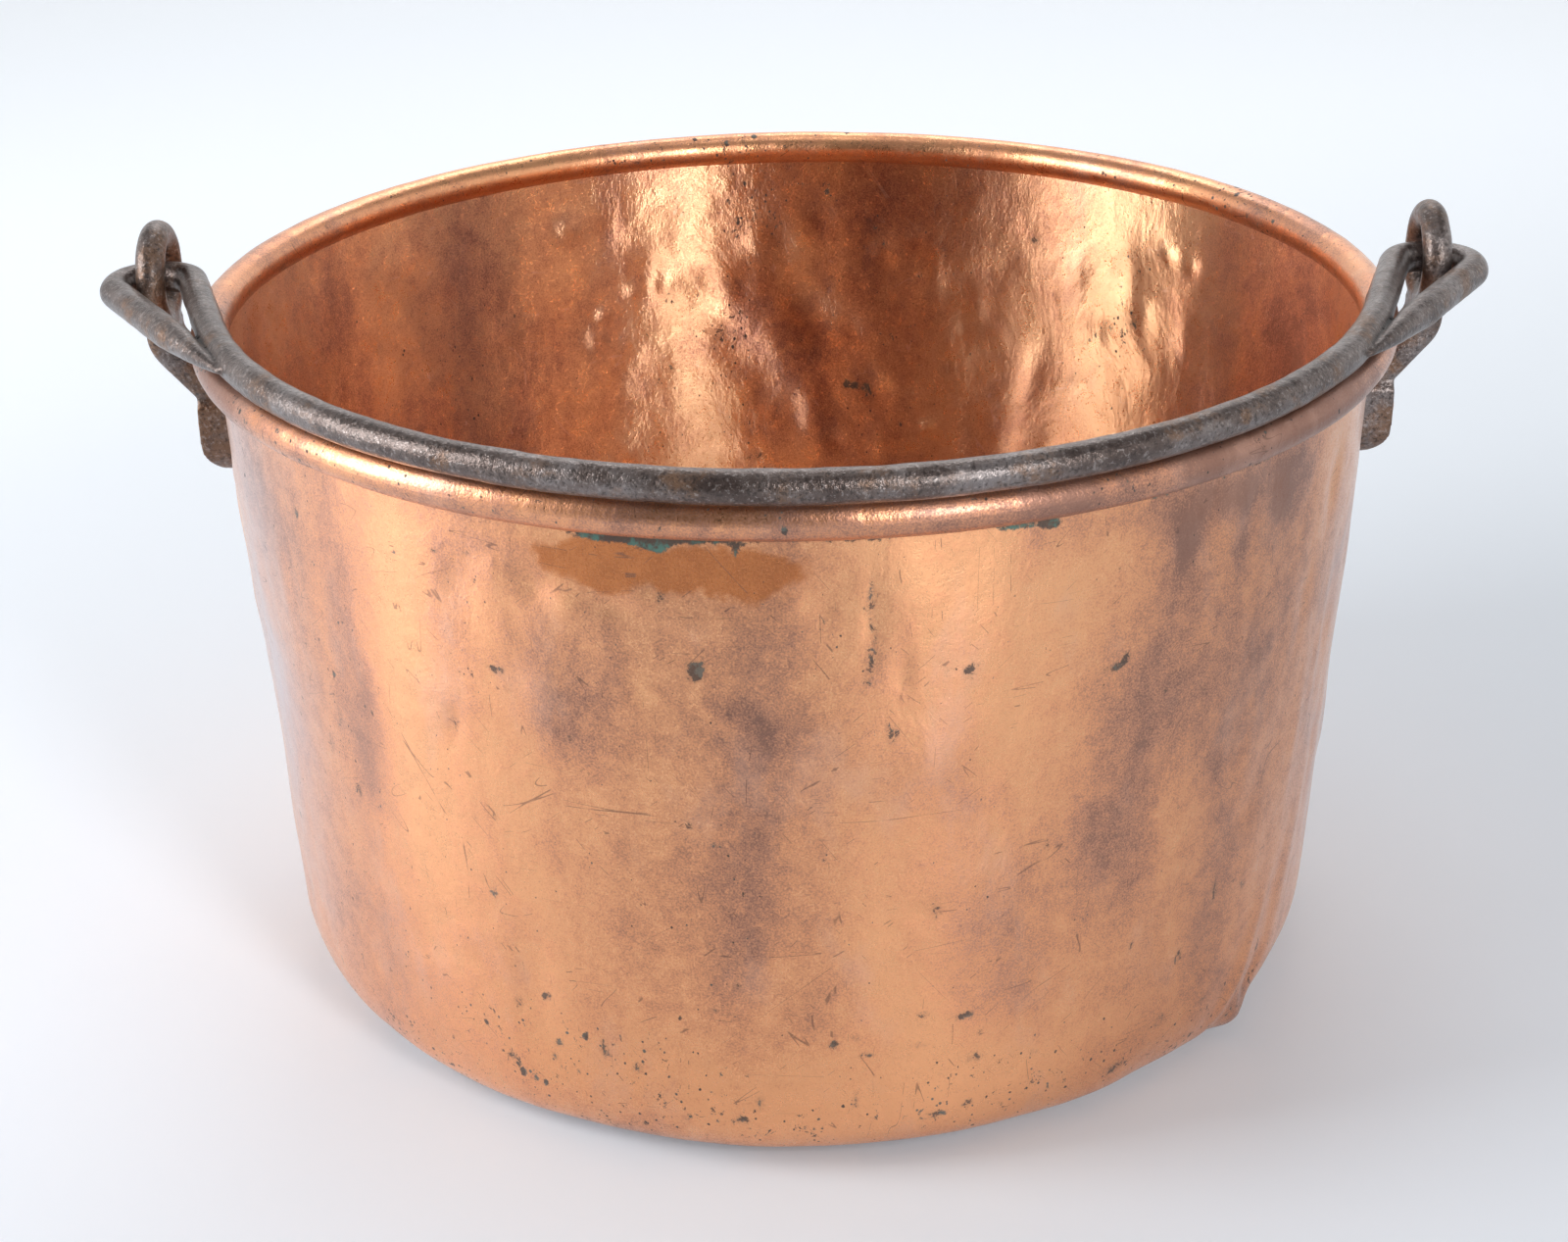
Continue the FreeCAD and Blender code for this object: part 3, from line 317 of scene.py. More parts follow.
def iron(name, rusty=0.0):
    """Forged iron: a brown-black skin, worn grey in places, with rust, pits and bright flecks, and
    painted shade, near black, in its creases.
    """
    t = Tree(name)
    broad = t.noise(26.0, 4.0, 0.6)
    mid = t.noise(120.0, 5.0, 0.7, t.stretch(1, 1, 1, 4.0))
    fine = t.noise(520.0, 2.0, 0.7)
    colour = t.ramp(t.sum(broad, t.swing(mid, 0.6)), *IRON_SHADES)
    rust = t.step(t.sum(t.noise(34.0, 5.0, 0.7, t.stretch(1, 1, 1, 8.0)), rusty), 0.52, 0.66)
    colour = t.mix(t.times(rust, 0.7), colour, RUST)
    colour = t.mix(t.step(fine, 0.57, 0.66, 0.4), colour, FLECK)
    colour = t.mix(t.step(fine, 0.45, 0.36, 0.65), colour, PIT)
    green = t.step(t.sum(t.layer("verdigris"), t.swing(mid, 1.2)), 0.4, 0.6)
    colour = t.mix(t.times(green, 0.8), colour, IRON_GREEN)
    # painted shade: the creases are darkened nearly to black, and made rougher
    crease_and_shade = t.step(t.layer("crease_and_shade"), 0.12, 0.55)
    colour = t.mix(t.times(crease_and_shade, 0.92), colour, IRON_CREASE_SHADE)
    rough = t.sum(0.27, t.times(mid, 0.12), t.times(rust, 0.14),
                  t.times(t.most(green, crease_and_shade), 0.3))
    normal = t.bump(t.sum(mid, t.times(fine, 0.5)), 0.6, 0.0014)
    return t.surface(Base_Color=colour, Metallic=0.72, Roughness=rough, Normal=normal,
                     Coat_Weight=0.25, Coat_Roughness=0.28)


COPPER_OUT = copper("copper_outside", OUTSIDE)
COPPER_IN = copper("copper_inside", INSIDE, drawn=1.0)
COPPER_RIM = copper("copper_rim", OUTSIDE, age=0.10, drawn=0.3)
COPPER_RIVET = copper("copper_rivet", OUTSIDE, age=0.30, drawn=0.0)
IRON, IRON_LUG = iron("forged_iron"), iron("lug_iron", 0.10)


# ---------------------------------------------------------------- the copper's form and marks
# height above the base and outside radius of the wall in mm, as the photograph shows it
WALL = [
    (0.3, 190.0), (0.7, 208.6), (1.8, 223.8), (4.4, 235.7), (9.0, 244.7), (16.0, 251.4),
    (26.0, 256.1), (39.0, 259.3), (57.0, 260.9), (79.0, 262.3), (104.0, 263.9), (129.0, 265.5),
    (154.0, 267.2), (179.0, 269.0), (204.0, 271.1), (229.0, 273.2), (254.0, 274.6), (279.0, 275.8),
    (304.0, 277.0), (329.0, 278.0)]

# azimuth in degrees from the front (-Y) towards +X, height, half width and depth in mm, how
# tall for its width, tilt in degrees. A depth below 0 goes inward.
KNOCKS = [
    (55.5, 15, 12, 6.8, 0.85, 0), (53, 46, 6, 2.6, 5.0, 30), (57.0, 30, 6, -2.6, 3.2, 32),
    (60, 70, 9, -1.4, 3.0, 20), (64, 95, 8, 1.2, 4.0, 12), (46, 50, 14, 1.0, 1.5, 0),
    (40, 20, 18, -1.5, 0.7, 0), (5, 60, 30, -1.0, 1.4, 0), (-40, 30, 24, -1.2, 0.8, 0),
    (70, 150, 18, 1.3, 2.6, 0), (66, 210, 9, -1.2, 3.0, 8), (-72, 190, 26, -1.4, 2.2, 0),
    (-66, 110, 22, 1.0, 2.0, 0), (62, 285, 7, -1.6, 2.4, 10), (64, 200, 5, 0.8, 6.0, 4),
    (68, 140, 5, -0.8, 7.0, 6), (60, 160, 6, 0.7, 6.0, 3), (73, 230, 5, 0.7, 5.0, 0),
    (57, 232, 6, -0.9, 4.0, 6), (49, 180, 7, 0.7, 5.0, 0), (76, 130, 6, 0.8, 5.0, 6),
    (-27, 90, 10, -1.1, 3.6, 0), (-58, 250, 6, 0.8, 4.0, 0), (-78, 255, 6, 0.9, 3.0, 0),
    (-70, 60, 8, -0.8, 2.0, 0), (6.4, 288, 3.5, -0.8, 5.0, 0), (-23, 297, 8, -1.4, 1.0, 0),
    (-20, 288, 6, 0.9, 1.2, 30), (-16, 292, 7, -1.0, 0.8, 0), (-13, 296, 5, 0.8, 1.0, 0),
    (-27, 300, 7, 0.9, 1.2, 0), (-31, 292, 8, -0.8, 1.4, 0), (-9, 285, 8, 0.8, 1.0, 0),
    (2, 296, 9, -0.8, 1.4, 0), (9, 262, 3.5, -0.7, 3.0, 0), (-33, 221, 4, -0.8, 2.6, 10),
    (43, 300, 7, 0.9, 1.5, 0), (36, 290, 9, -0.9, 1.2, 0), (177.5, 236, 14, -3.0, 1.7, 38),
    (189, 256, 10, 1.5, 1.6, 32), (184, 282, 8, 0.8, 1.2, 0), (172.5, 229, 5, -1.1, 1.6, 20),
    (169, 276, 7, -1.5, 1.3, 0), (165, 285, 5, -1.1, 1.0, 0), (163, 262, 8, 1.2, 1.5, 0),
    (176, 296, 10, -1.2, 0.8, 0), (196, 259, 6, -1.0, 1.0, -25), (200, 258, 4, -0.9, 1.0, 0),
    (204, 246, 4, -1.0, 1.0, 0), (205, 232, 6, -1.1, 1.3, 20), (203, 292, 8, 1.0, 1.1, 0),
    (208, 300, 6, -1.1, 1.2, 0), (144, 276, 7, -1.0, 1.4, 0), (137, 285, 8, 0.9, 1.6, 0),
    (131, 297, 4, -1.2, 1.0, 0), (127.5, 295, 4, -1.1, 1.2, 0), (134, 258, 7, -0.9, 1.5, 0),
    (141, 244, 6, 0.8, 1.8, 0), (128, 250, 7, 0.9, 2.4, 0), (170, 192, 8, -1.3, 1.2, 0),
    (178, 178, 7, 1.2, 1.8, 0), (184, 190, 9, -1.1, 1.6, 0), (163, 172, 4, -1.2, 0.9, 0),
    (175, 160, 5, -1.2, 1.0, 0)]

# marks: azimuth in degrees, height, half width and half height in mm, strength
ALL_ROUND = 9000
# most rows are tarnish; those at azimuth -38 and -33 with a strength below 0 are painted
# highlights on the upright band of light at the left
TARNISH_AND_HIGHLIGHTS = [
    (0, 3, ALL_ROUND, 9, 1.0), (-48, 205, 24, 100, 0.38), (-22, 240, 13, 34, 0.32),
    (-24, 165, 12, 30, 0.2), (16, 232, 13, 34, 0.3), (-54, 225, 22, 60, 0.25),
    (-24, 275, 9, 26, 0.45), (-29, 170, 14, 24, 0.2), (23, 220, 14, 26, 0.32),
    (14, 262, 14, 20, 0.2), (20, 95, 14, 26, 0.2), (31, 160, 20, 40, 0.2), (35, 85, 18, 30, 0.28),
    (31, 38, 24, 16, 0.22), (-14, 258, 10, 22, -0.45), (-14, 218, 12, 22, -0.25),
    (-10, 80, 34, 24, -0.25), (-45, 190, 16, 60, 0.12), (-45, 285, 24, 46, 0.5),
    (-60, 300, 40, 40, 0.3), (43, 312, 38, 12, 1.0), (37, 296, 8, 16, 0.9), (44, 288, 6, 18, 0.7),
    (50, 298, 9, 14, 0.8), (-34, 190, 16, 120, 0.22), (33, 250, 22, 60, 0.35),
    (48, 240, 24, 80, 0.25), (7, 262, 12, 30, 0.25), (-4, 285, 26, 50, 0.30),
    (-3, 215, 34, 60, 0.28), (6, 150, 60, 60, 0.30), (38, 240, 30, 80, 0.55),
    (44, 120, 36, 80, 0.45), (54, 240, 34, 80, 0.75), (25, 130, 45, 60, 0.45),
    (-16, 250, 20, 50, 0.3), (-22, 245, 16, 36, 0.2), (-62, 230, 24, 110, 0.35),
    (-52, 90, 30, 60, 0.25), (56, 20, 10, 12, 0.6), (-38, 235, 26, 80, -0.45),
    (-33, 140, 30, 90, -0.40), (15, 275, 28, 46, -0.22), (-12, 50, 60, 26, -0.75),
    (12, 42, 60, 24, -0.65), (5, 150, 16, 50, -0.15), (66, 200, 26, 120, 0.25),
    (-25, 308, 30, 14, 0.5), (30, 318, 50, 10, 0.45), (52, 300, 26, 24, 0.5),
    (-75, 200, 30, 140, -0.1), (-6, 240, 12, 30, 0.05), (45, 60, 22, 40, 0.35),
    (31, 200, 18, 60, 0.25), (20, 200, 20, 60, -0.2), (120, 200, 60, 120, 0.25),
    (170, 120, 80, 60, -0.2), (215, 220, 60, 90, 0.3), (250, 90, 60, 60, -0.2),
    (180, 290, 70, 30, 0.3), (105, 90, 50, 60, -0.2)]
# mostly tarnish; the rows at azimuth 193 and 137 are painted highlights on the two upright bands
# of light inside
TARNISH_AND_HIGHLIGHTS_IN = [
    (193, 200, 28, 200, -0.25), (137, 220, 36, 160, -0.75), (215, 180, 50, 150, 0.35),
    (161, 190, 40, 90, -0.15), (186, 235, 12, 30, 0.25), (106, 200, 66, 160, 0.8),
    (245, 200, 50, 160, 0.35), (176, 300, 40, 16, 0.3), (180, 215, 18, 34, 0.4),
    (0, 200, 200, 100, 0.1)]
AMBER = [
    (-17, 52, 70, 26, 0.15), (-17, 311, 36, 15, 1.0), (-4, 309, 26, 17, 0.85),
    (40, 314, 20, 10, 0.40), (49, 306, 9, 16, 0.34), (160, 310, 30, 16, 0.8),
    (220, 308, 26, 18, 0.8)]
# a pale lilac tint: painted reflection of the white floor and backdrop on the low edge and both
# flanks, and a pale bloom at the back
BLOOM_AND_REFLECTION = [(0, 1, ALL_ROUND, 6, 1.0), (-68, 190, 46, 120, 0.9), (76, 180, 44, 140, 1.2),
         (-76, 120, 30, 90, 0.5), (180, 200, 90, 120, 0.4), (135, 60, 60, 60, 0.4)]
# painted shade and verdigris: a near-black band under the rim and beside the lugs' tongues, with
# teal in it
VERDIGRIS_AND_GAP_SHADE = [
    (-86.2, 284, 3, 27, 0.8), (-93.8, 284, 3, 27, 0.8), (86.2, 284, 3, 27, 0.9),
    (93.8, 284, 3, 27, 0.8), (-17, 323.5, 20, 3.6, 0.75), (-8, 324, 26, 2.6, 0.7),
    (-12, 320.5, 9, 3.6, 0.7), (-5, 319.5, 4, 3.4, 0.6), (19, 323.5, 18, 2.8, 0.7),
    (22, 321, 6, 3, 0.6), (45, 323.5, 24, 2.8, 0.65), (34, 324, 30, 2.2, 0.6),
    (5, 324.5, 30, 2.2, 0.6), (70, 323, 20, 3, 0.6), (-34, 325, 30, 2.2, 0.55),
    (130, 323, 40, 3, 0.7), (200, 323, 60, 3, 0.7), (255, 323, 20, 3, 0.7),
    (160, 324, 50, 2.4, 0.6)]
SPECKS = [
    (0, 26, ALL_ROUND, 16, 0.5), (-34, 36, 70, 34, 0.7), (-22, 60, 50, 26, 0.7),
    (12, 40, 60, 24, 0.7), (24, 45, 30, 18, 0.7), (38, 26, 60, 20, 0.7), (-8, 28, 60, 20, 0.6),
    (-50, 170, 20, 60, 0.6), (5, 270, 20, 20, 0.4), (22, 260, 20, 16, 0.4),
    (-30, 270, 16, 16, 0.3), (14, 145, 16, 10, 0.6), (180, 60, 300, 50, 0.6),
    (105, 180, 50, 90, 0.3), (250, 180, 60, 80, 0.4), (180, 200, 60, 90, 0.25)]
SPECKS_IN = [
    (184, 304, 18, 18, 1.0), (176, 312, 14, 9, 0.9), (190, 270, 30, 60, 0.5),
    (188, 215, 14, 30, 0.7), (197, 210, 22, 50, 0.6), (168, 200, 40, 80, 0.35),
    (136, 250, 24, 60, 0.7), (225, 230, 60, 60, 0.4)]
STAINS = [
    (6.3, 296, 2.7, 16, 0.85), (6.6, 272, 2.7, 8, 0.7), (2.9, 76, 4, 4, 0.9), (5, 79, 3, 3, 0.8),
    (6, 68, 5, 2.6, 0.8), (15.7, 84, 8, 3, 0.9), (11.7, 88, 4, 2.6, 0.9), (14.3, 99, 4, 3.5, 0.8),
    (19, 102, 3, 6, 0.6), (11.3, 71, 6, 2.6, 0.8), (17, 60, 6, 4, 0.85), (17.5, 74, 3, 3, 0.6),
    (23.4, 55, 4, 4, 0.7), (33.8, 30, 7, 5, 1.0), (-6.3, 33, 6, 3, 0.9), (-4.5, 44, 3.5, 6, 0.7),
    (13.2, 30, 6, 2.6, 0.8), (16.6, 34, 5, 2.6, 0.8), (5, 43, 3.5, 7, 0.6),
    (-5.7, 59, 3.5, 3, 0.7), (-29.5, 79, 3, 6, 0.8), (-26.2, 86, 3.5, 3.5, 0.9),
    (-25.2, 62, 3, 5, 0.8), (-25.8, 53, 3.5, 3.5, 0.9), (-20.1, 65, 3.5, 8, 0.85),
    (-16.8, 57, 4.5, 4.5, 0.9), (-31.1, 47, 4, 4, 0.7), (-8.5, 94, 3, 3, 0.75),
    (-6.2, 108, 4, 6, 0.6), (-53, 294, 3, 5, 0.7), (-29.7, 306, 3, 3, 0.8),
    (-33.5, 303, 3.5, 2.6, 0.7), (-38.2, 296, 3, 3.5, 0.7), (-27.7, 253, 5.5, 2.6, 0.9),
    (-26.6, 245, 4, 2.8, 0.7), (-9, 263, 4, 6, 0.95), (-8.4, 267, 4, 2.6, 0.8),
    (-9.1, 243, 2.8, 3.5, 0.7), (-33, 221, 2.8, 9, 0.75), (-29.8, 210, 3, 3, 0.6),
    (-20.9, 226, 3, 5, 0.65), (-49.2, 160, 3, 6, 0.8), (-53.3, 178, 3.5, 7, 0.8),
    (-50.5, 198, 2.8, 12, 0.7), (-32.3, 174, 3, 3.5, 0.75), (-29.9, 177, 3.2, 3.2, 0.75),
    (-11.6, 296, 3, 6, 0.75), (-10.1, 190, 3, 5, 0.6), (39.6, 47, 7, 4.5, 0.75),
    (41.4, 80, 3.5, 7, 0.75), (34.3, 98, 3, 3, 0.75), (46.2, 106, 3, 9, 0.85),
    (51.5, 98, 2.8, 7, 0.75), (58, 49, 3.5, 7, 0.9), (45.9, 46, 4, 3, 0.75),
    (5.9, 262, 2.8, 9, 0.85), (15, 260, 5, 4.5, 0.85), (29.3, 248, 8, 3, 0.9),
    (30.6, 252, 3, 3, 0.7), (8.1, 235, 3.5, 7, 0.95), (35.6, 228, 3, 3, 0.7),
    (12.5, 144, 4, 8, 0.7), (-30.9, 137, 3, 6, 0.85), (23.4, 167, 3, 5, 0.6), (130, 80, 6, 5, 0.8),
    (160, 60, 5, 6, 0.8), (205, 100, 6, 4, 0.8), (232, 240, 4, 7, 0.8), (101, 210, 4, 6, 0.8),
    (265, 60, 5, 5, 0.8)]
STAINS_IN = [
    (172.7, 194, 9, 3.5, 0.9), (170.6, 189, 3.5, 6, 0.8), (185.4, 151, 8, 4, 0.8),
    (183, 231, 4, 3, 0.6), (204, 150, 4, 7, 0.8), (178.5, 190, 3, 5, 0.6), (150, 290, 6, 4, 0.6)]
OUTER_MARKS = {"tarnish_and_painted_light": TARNISH_AND_HIGHLIGHTS, "amber": AMBER, "bloom_and_reflection": BLOOM_AND_REFLECTION, "verdigris": VERDIGRIS_AND_GAP_SHADE,
               "specks": SPECKS, "stain": STAINS}
INNER_MARKS = {"tarnish_and_painted_light": TARNISH_AND_HIGHLIGHTS_IN, "specks": SPECKS_IN, "stain": STAINS_IN}
# tarnish on the roll, all at one height; the rows at azimuth -38 and 180, with a strength below 0,
# are painted highlights
BEAD_MARKS = [(62, 300, 80, 99, 0.7), (40, 300, 110, 99, 0.8), (0, 300, 70, 99, 0.22),
              (-66, 300, 90, 99, 0.8), (-38, 300, 40, 99, -0.4), (180, 300, 300, 99, -0.6)]


def noise3(points, scale, seed, stretch=1.0):
    """Smooth noise, -1 to 1, at each point. stretch scales it along z."""
    return np.array([noise.noise(Vector((x * scale + seed, y * scale - seed,
                                         z * scale * stretch + 2 * seed)))
                     for x, y, z in points])


def turned(azimuth, start):
    """Degrees from start to each azimuth, -180 to 180."""
    return (azimuth - start + 180) % 360 - 180


def paint(marks, azimuth, height):
    """Sum of soft marks at each point."""
    total = np.zeros(len(azimuth))
    for start, up, wide, tall, strength in marks:
        across = np.radians(turned(azimuth, start)) * ARC_MM
        total += strength * np.exp(-(across / wide) ** 2 - ((height / MM - up) / tall) ** 2)
    return total


def section():
    """Radius, height and outward normal from the base's middle to the rim: base, then wall."""
    z = np.array([0.0] + [a for a, _ in WALL]) * MM
    r = np.array([0.0] + [b for _, b in WALL]) * MM
    s = np.concatenate([[0], np.cumsum(np.hypot(np.diff(r), np.diff(z)))])
    dense = np.linspace(0, s[-1], SECTION_POINTS)
    r, z = np.interp(dense, s, r), np.interp(dense, s, z)
    kernel = np.hanning(BLEND_POINTS)
    kernel /= kernel.sum()
    half = BLEND_POINTS // 2
    for _ in range(2):
        r, z = (np.convolve(np.concatenate([2 * v[0] - v[half:0:-1], v,
                                            2 * v[-1] - v[-2:-half - 2:-1]]), kernel, "valid")
                for v in (r, z))
    z = np.maximum(z, FLOOR_GAP)
    tr, tz = np.gradient(r), np.gradient(z)
    size = np.hypot(tr, tz)
    edge, end = int(np.searchsorted(r, BASE_EDGE_R)), SECTION_POINTS - 1
    parts = []
    for first, last, rows in ((0, edge, BASE_ROWS), (edge, end, WALL_ROWS)):
        at = np.linspace(first, last, rows)
        parts.append([np.interp(at, np.arange(SECTION_POINTS), v)
                      for v in (r, z, tz / size, -tr / size)])
    return parts


def dents():
    """The listed knocks, shallow ones all round, and dense small ones at the back."""
    rng = random.Random(7)
    found = list(KNOCKS)
    for _ in range(190):
        found.append((rng.uniform(-180, 180), rng.uniform(12, 325), rng.uniform(6, 17),
                      rng.choice((-1, 1)) * rng.uniform(0.12, 0.75),
                      rng.uniform(0.8, 2.4), rng.uniform(-30, 30)))
    for _ in range(170):
        small = rng.uniform(4.5, 13.0)
        found.append((rng.gauss(178, 36), rng.uniform(90, 322), small,
                      rng.choice((-1, 1)) * small * rng.uniform(0.01, 0.065),
                      rng.uniform(0.7, 2.4), rng.uniform(-40, 40)))
    return found


def push(azimuth, height, points):
    """How far, in metres, the sheet stands out from its even form at each point."""
    out = 0.75 * noise3(points, 6.0, 3.0, 0.4) + 0.80 * noise3(points, 15.0, 11.0, 0.22)
    out += 0.34 * noise3(points, 34.0, 23.0, 0.7) + 0.13 * noise3(points, 80.0, 31.0, 0.9)
    for start, middle, wide, depth, tall, tilt in dents():
        across = np.radians(turned(azimuth, start)) * ARC_MM
        up = height / MM - middle
        c, s = math.cos(math.radians(tilt)), math.sin(math.radians(tilt))
        d = ((across * c - up * s) / wide) ** 2 + ((across * s + up * c) / (wide * tall)) ** 2
        near = d < 9
        out[near] += depth * np.exp(-d[near])
    # it stays true where the lugs sit, and under the rim
    for start in LUG_AZIMUTHS:
        apart = np.abs(turned(azimuth, start))
        true = np.clip((apart - 4.0) / 5.0, 0, 1) ** 0.7
        out *= true * (height > 0.235) + (height <= 0.235)
    out *= np.clip((0.327 - height) / 0.02, 0, 1)
    return out * MM


# ---------------------------------------------------------------- meshes
def add_layers(mesh, layers):
    for key, values in layers.items():
        layer = mesh.attributes.new(key, "FLOAT", "POINT")
        layer.data.foreach_set("value", np.asarray(values, np.float32))


def grid_mesh(name, places, around, along, material, layers, flip=False):
    """A mesh from a grid of places that closes round the axis."""
    index = np.arange(around * along).reshape(along, around)
    a, b = index[:-1], index[1:]
    quads = np.stack([a, np.roll(a, -1, 1), np.roll(b, -1, 1), b], -1).reshape(-1, 4)
    if flip:
        quads = quads[:, ::-1]
    mesh = bpy.data.meshes.new(name)
    mesh.vertices.add(len(places))
    mesh.vertices.foreach_set("co", np.asarray(places, np.float32).ravel())
    mesh.loops.add(quads.size)
    mesh.loops.foreach_set("vertex_index", quads.ravel().astype(np.int32))
    mesh.polygons.add(len(quads))
    mesh.polygons.foreach_set("loop_start", np.arange(0, quads.size, 4, dtype=np.int32))
    mesh.polygons.foreach_set("use_smooth", np.ones(len(quads), bool))
    mesh.update(calc_edges=True)
    mesh.validate()
    add_layers(mesh, layers)
    mesh.materials.append(material)
    piece = bpy.data.objects.new(name, mesh)
    scene.collection.objects.link(piece)
    return piece


def make_vessel():
    """The sheet's outer and inner skins, each in a base and a wall."""
    for part, (r, z, nr, nz) in zip(("base", "wall"), section()):
        along, around = len(r), AROUND if part == "wall" else AROUND // 2
        angle = np.linspace(-math.pi, math.pi, around, endpoint=False)
        azimuth = np.degrees(np.tile(angle, along))
        height, radius = np.repeat(z, around), np.repeat(r, around)
        normal_r, normal_z = np.repeat(nr, around), np.repeat(nz, around)
        sin, cos = np.tile(np.sin(angle), along), -np.tile(np.cos(angle), along)
        out = push(azimuth, height, np.stack([radius * sin, radius * cos, height], -1))
        # the base rests on the floor: it may only be pushed up
        wall_share = np.clip((radius - 0.20) / 0.045, 0, 1)
        out = out * wall_share - np.abs(out) * (1 - wall_share) * 0.6

        def skin(depth):
            d = out - depth
            rr = np.maximum(radius + normal_r * d, 0.0)
            return np.stack([rr * sin, rr * cos, np.maximum(height + normal_z * d, 0.0)], -1)

        for name, depth, marks, material in (("outside", 0.0, OUTER_MARKS, COPPER_OUT),
                                             ("inside", SHEET, INNER_MARKS, COPPER_IN)):
            layers = {key: paint(m, azimuth, height) * (part == "wall")
                      for key, m in marks.items()}
            piece = grid_mesh(f"vessel_{name}_{part}", skin(depth), around, along, material,
                              layers, flip=depth > 0)
            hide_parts("cauldron_body")
            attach(piece, "pot")


def make_bead():
    """The rim's roll, a little uneven. Its first row is repeated to close it."""
    around, ring = BEAD_AROUND, BEAD_RING
    angle = np.tile(np.linspace(-math.pi, math.pi, around, endpoint=False), ring)
    turn = np.repeat(np.linspace(0, 2 * math.pi, ring, endpoint=False), around)
    sin, cos = np.sin(angle), -np.cos(angle)
    centre = np.stack([BEAD_AT * sin, BEAD_AT * cos, np.full(len(sin), RIM_Z)], -1)
    outward = np.stack([np.cos(turn) * sin, np.cos(turn) * cos, np.sin(turn)], -1)
    even = centre + BEAD_R * outward
    swell = 0.28 * noise3(even, 22.0, 5.0) + 0.14 * noise3(even, 70.0, 9.0) - 0.1
    places = centre + (BEAD_R + swell * MM)[:, None] * outward
    azimuth = np.degrees(angle)
    # painted shade: the underside of the roll is made browner and gets the near-black band
    shaded_underside = np.clip(-np.sin(turn) - 0.75, 0, 1) * 4
    marks = paint(BEAD_MARKS, azimuth, np.full(len(sin), 0.3))
    green = paint(VERDIGRIS_AND_GAP_SHADE, azimuth, np.full(len(sin), 0.322))
    layers = {"tarnish_and_painted_light": 0.32 + 0.6 * noise3(centre, 9.0, 2.0) + 0.4 * shaded_underside + marks,
              "verdigris": np.clip(shaded_underside, 0, 1) * (0.4 + 0.6 * green),
              "specks": np.clip(0.5 + 0.8 * noise3(centre, 7.0, 4.0), 0, 1),
              "stain": np.clip(1.3 * noise3(even, 28.0, 17.0) - 0.35, 0, 0.55)}
    layers = {key: np.concatenate([v, v[:around]]) for key, v in layers.items()}
    piece = grid_mesh("rim_roll", np.concatenate([places, places[:around]]), around, ring + 1,
                      COPPER_RIM, layers, flip=True)
    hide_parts("cauldron_body")
    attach(piece, "pot")


def creases(mesh, at, normal, voxel):
    """How deep each point lies in a crease, 0 to 1: its neighbours stand out in front of it."""
    ends = np.zeros(len(mesh.edges) * 2, np.int32)
    mesh.edges.foreach_get("vertices", ends)
    one, two = ends.reshape(-1, 2).T
    crease_and_shade = np.zeros(len(at))
    for a, b in ((one, two), (two, one)):
        np.add.at(crease_and_shade, a, np.einsum("ij,ij->i", at[b] - at[a], normal[a]))
    crease_and_shade = np.clip(crease_and_shade / (voxel * 0.55), 0, 1)
    for _ in range(2):
        total, count = crease_and_shade.copy(), np.ones(len(at))
        for a, b in ((one, two), (two, one)):
            np.add.at(total, a, crease_and_shade[b])
            np.add.at(count, a, 1)
        crease_and_shade = total / count
    return crease_and_shade


def forge(node, body, voxel, material):
    """The node's own form with softened edges and a hammered, slightly uneven skin."""
    piece = bpy.data.objects.new(node + "_forged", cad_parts[node].data.copy())
    scene.collection.objects.link(piece)
    mod = piece.modifiers.new("remesh", "REMESH")
    mod.mode, mod.voxel_size, mod.adaptivity = "VOXEL", voxel, 0.0
    mod = piece.modifiers.new("smooth", "SMOOTH")
    mod.factor, mod.iterations = 0.5, 6
    bpy.context.view_layer.update()
    formed = piece.evaluated_get(bpy.context.evaluated_depsgraph_get())
    mesh = bpy.data.meshes.new_from_object(formed)
    piece.modifiers.clear()
    piece.data = mesh
    n = len(mesh.vertices)
    at, normal = np.zeros(n * 3, np.float32), np.zeros(n * 3, np.float32)
    mesh.vertices.foreach_get("co", at)
    mesh.vertex_normals.foreach_get("vector", normal)
    at, normal = at.reshape(-1, 3), normal.reshape(-1, 3)
    crease_and_shade = creases(mesh, at, normal, voxel)
    push_out = 0.30 * noise3(at, 45.0, 6.0) + 0.16 * noise3(at, 130.0, 2.0) - 0.05 - 1.3 * crease_and_shade
    at = at + normal * (push_out * MM)[:, None]
    away = np.hypot(at[:, 0], at[:, 1]) - LUG_FOOT_R
    green = 0.8 * np.exp(-(away / 0.0016) ** 2) * (at[:, 2] < LUG_FOOT_TOP)
    # the crease depth goes on the mesh, where the iron paints it as shade
    add_layers(mesh, {"crease_and_shade": crease_and_shade, "verdigris": green})
    mesh.vertices.foreach_set("co", at.astype(np.float32).ravel())
    mesh.polygons.foreach_set("use_smooth", np.ones(len(mesh.polygons), bool))
    mesh.materials.clear()
    mesh.materials.append(material)
    mesh.update()
    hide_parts(node)
    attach(piece, body)


make_vessel()
make_bead()
forge("bail_handle", "bail", 0.0011, IRON)
for lug in ("left_lug", "right_lug"):
    forge(lug, "pot", 0.0010, IRON_LUG)
for node, material in (("left_lug_rivets", COPPER_RIVET), ("right_lug_rivets", COPPER_RIVET),
                       ("rim_hoop", IRON)):
    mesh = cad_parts[node].data
    mesh.materials.clear()
    mesh.materials.append(material)


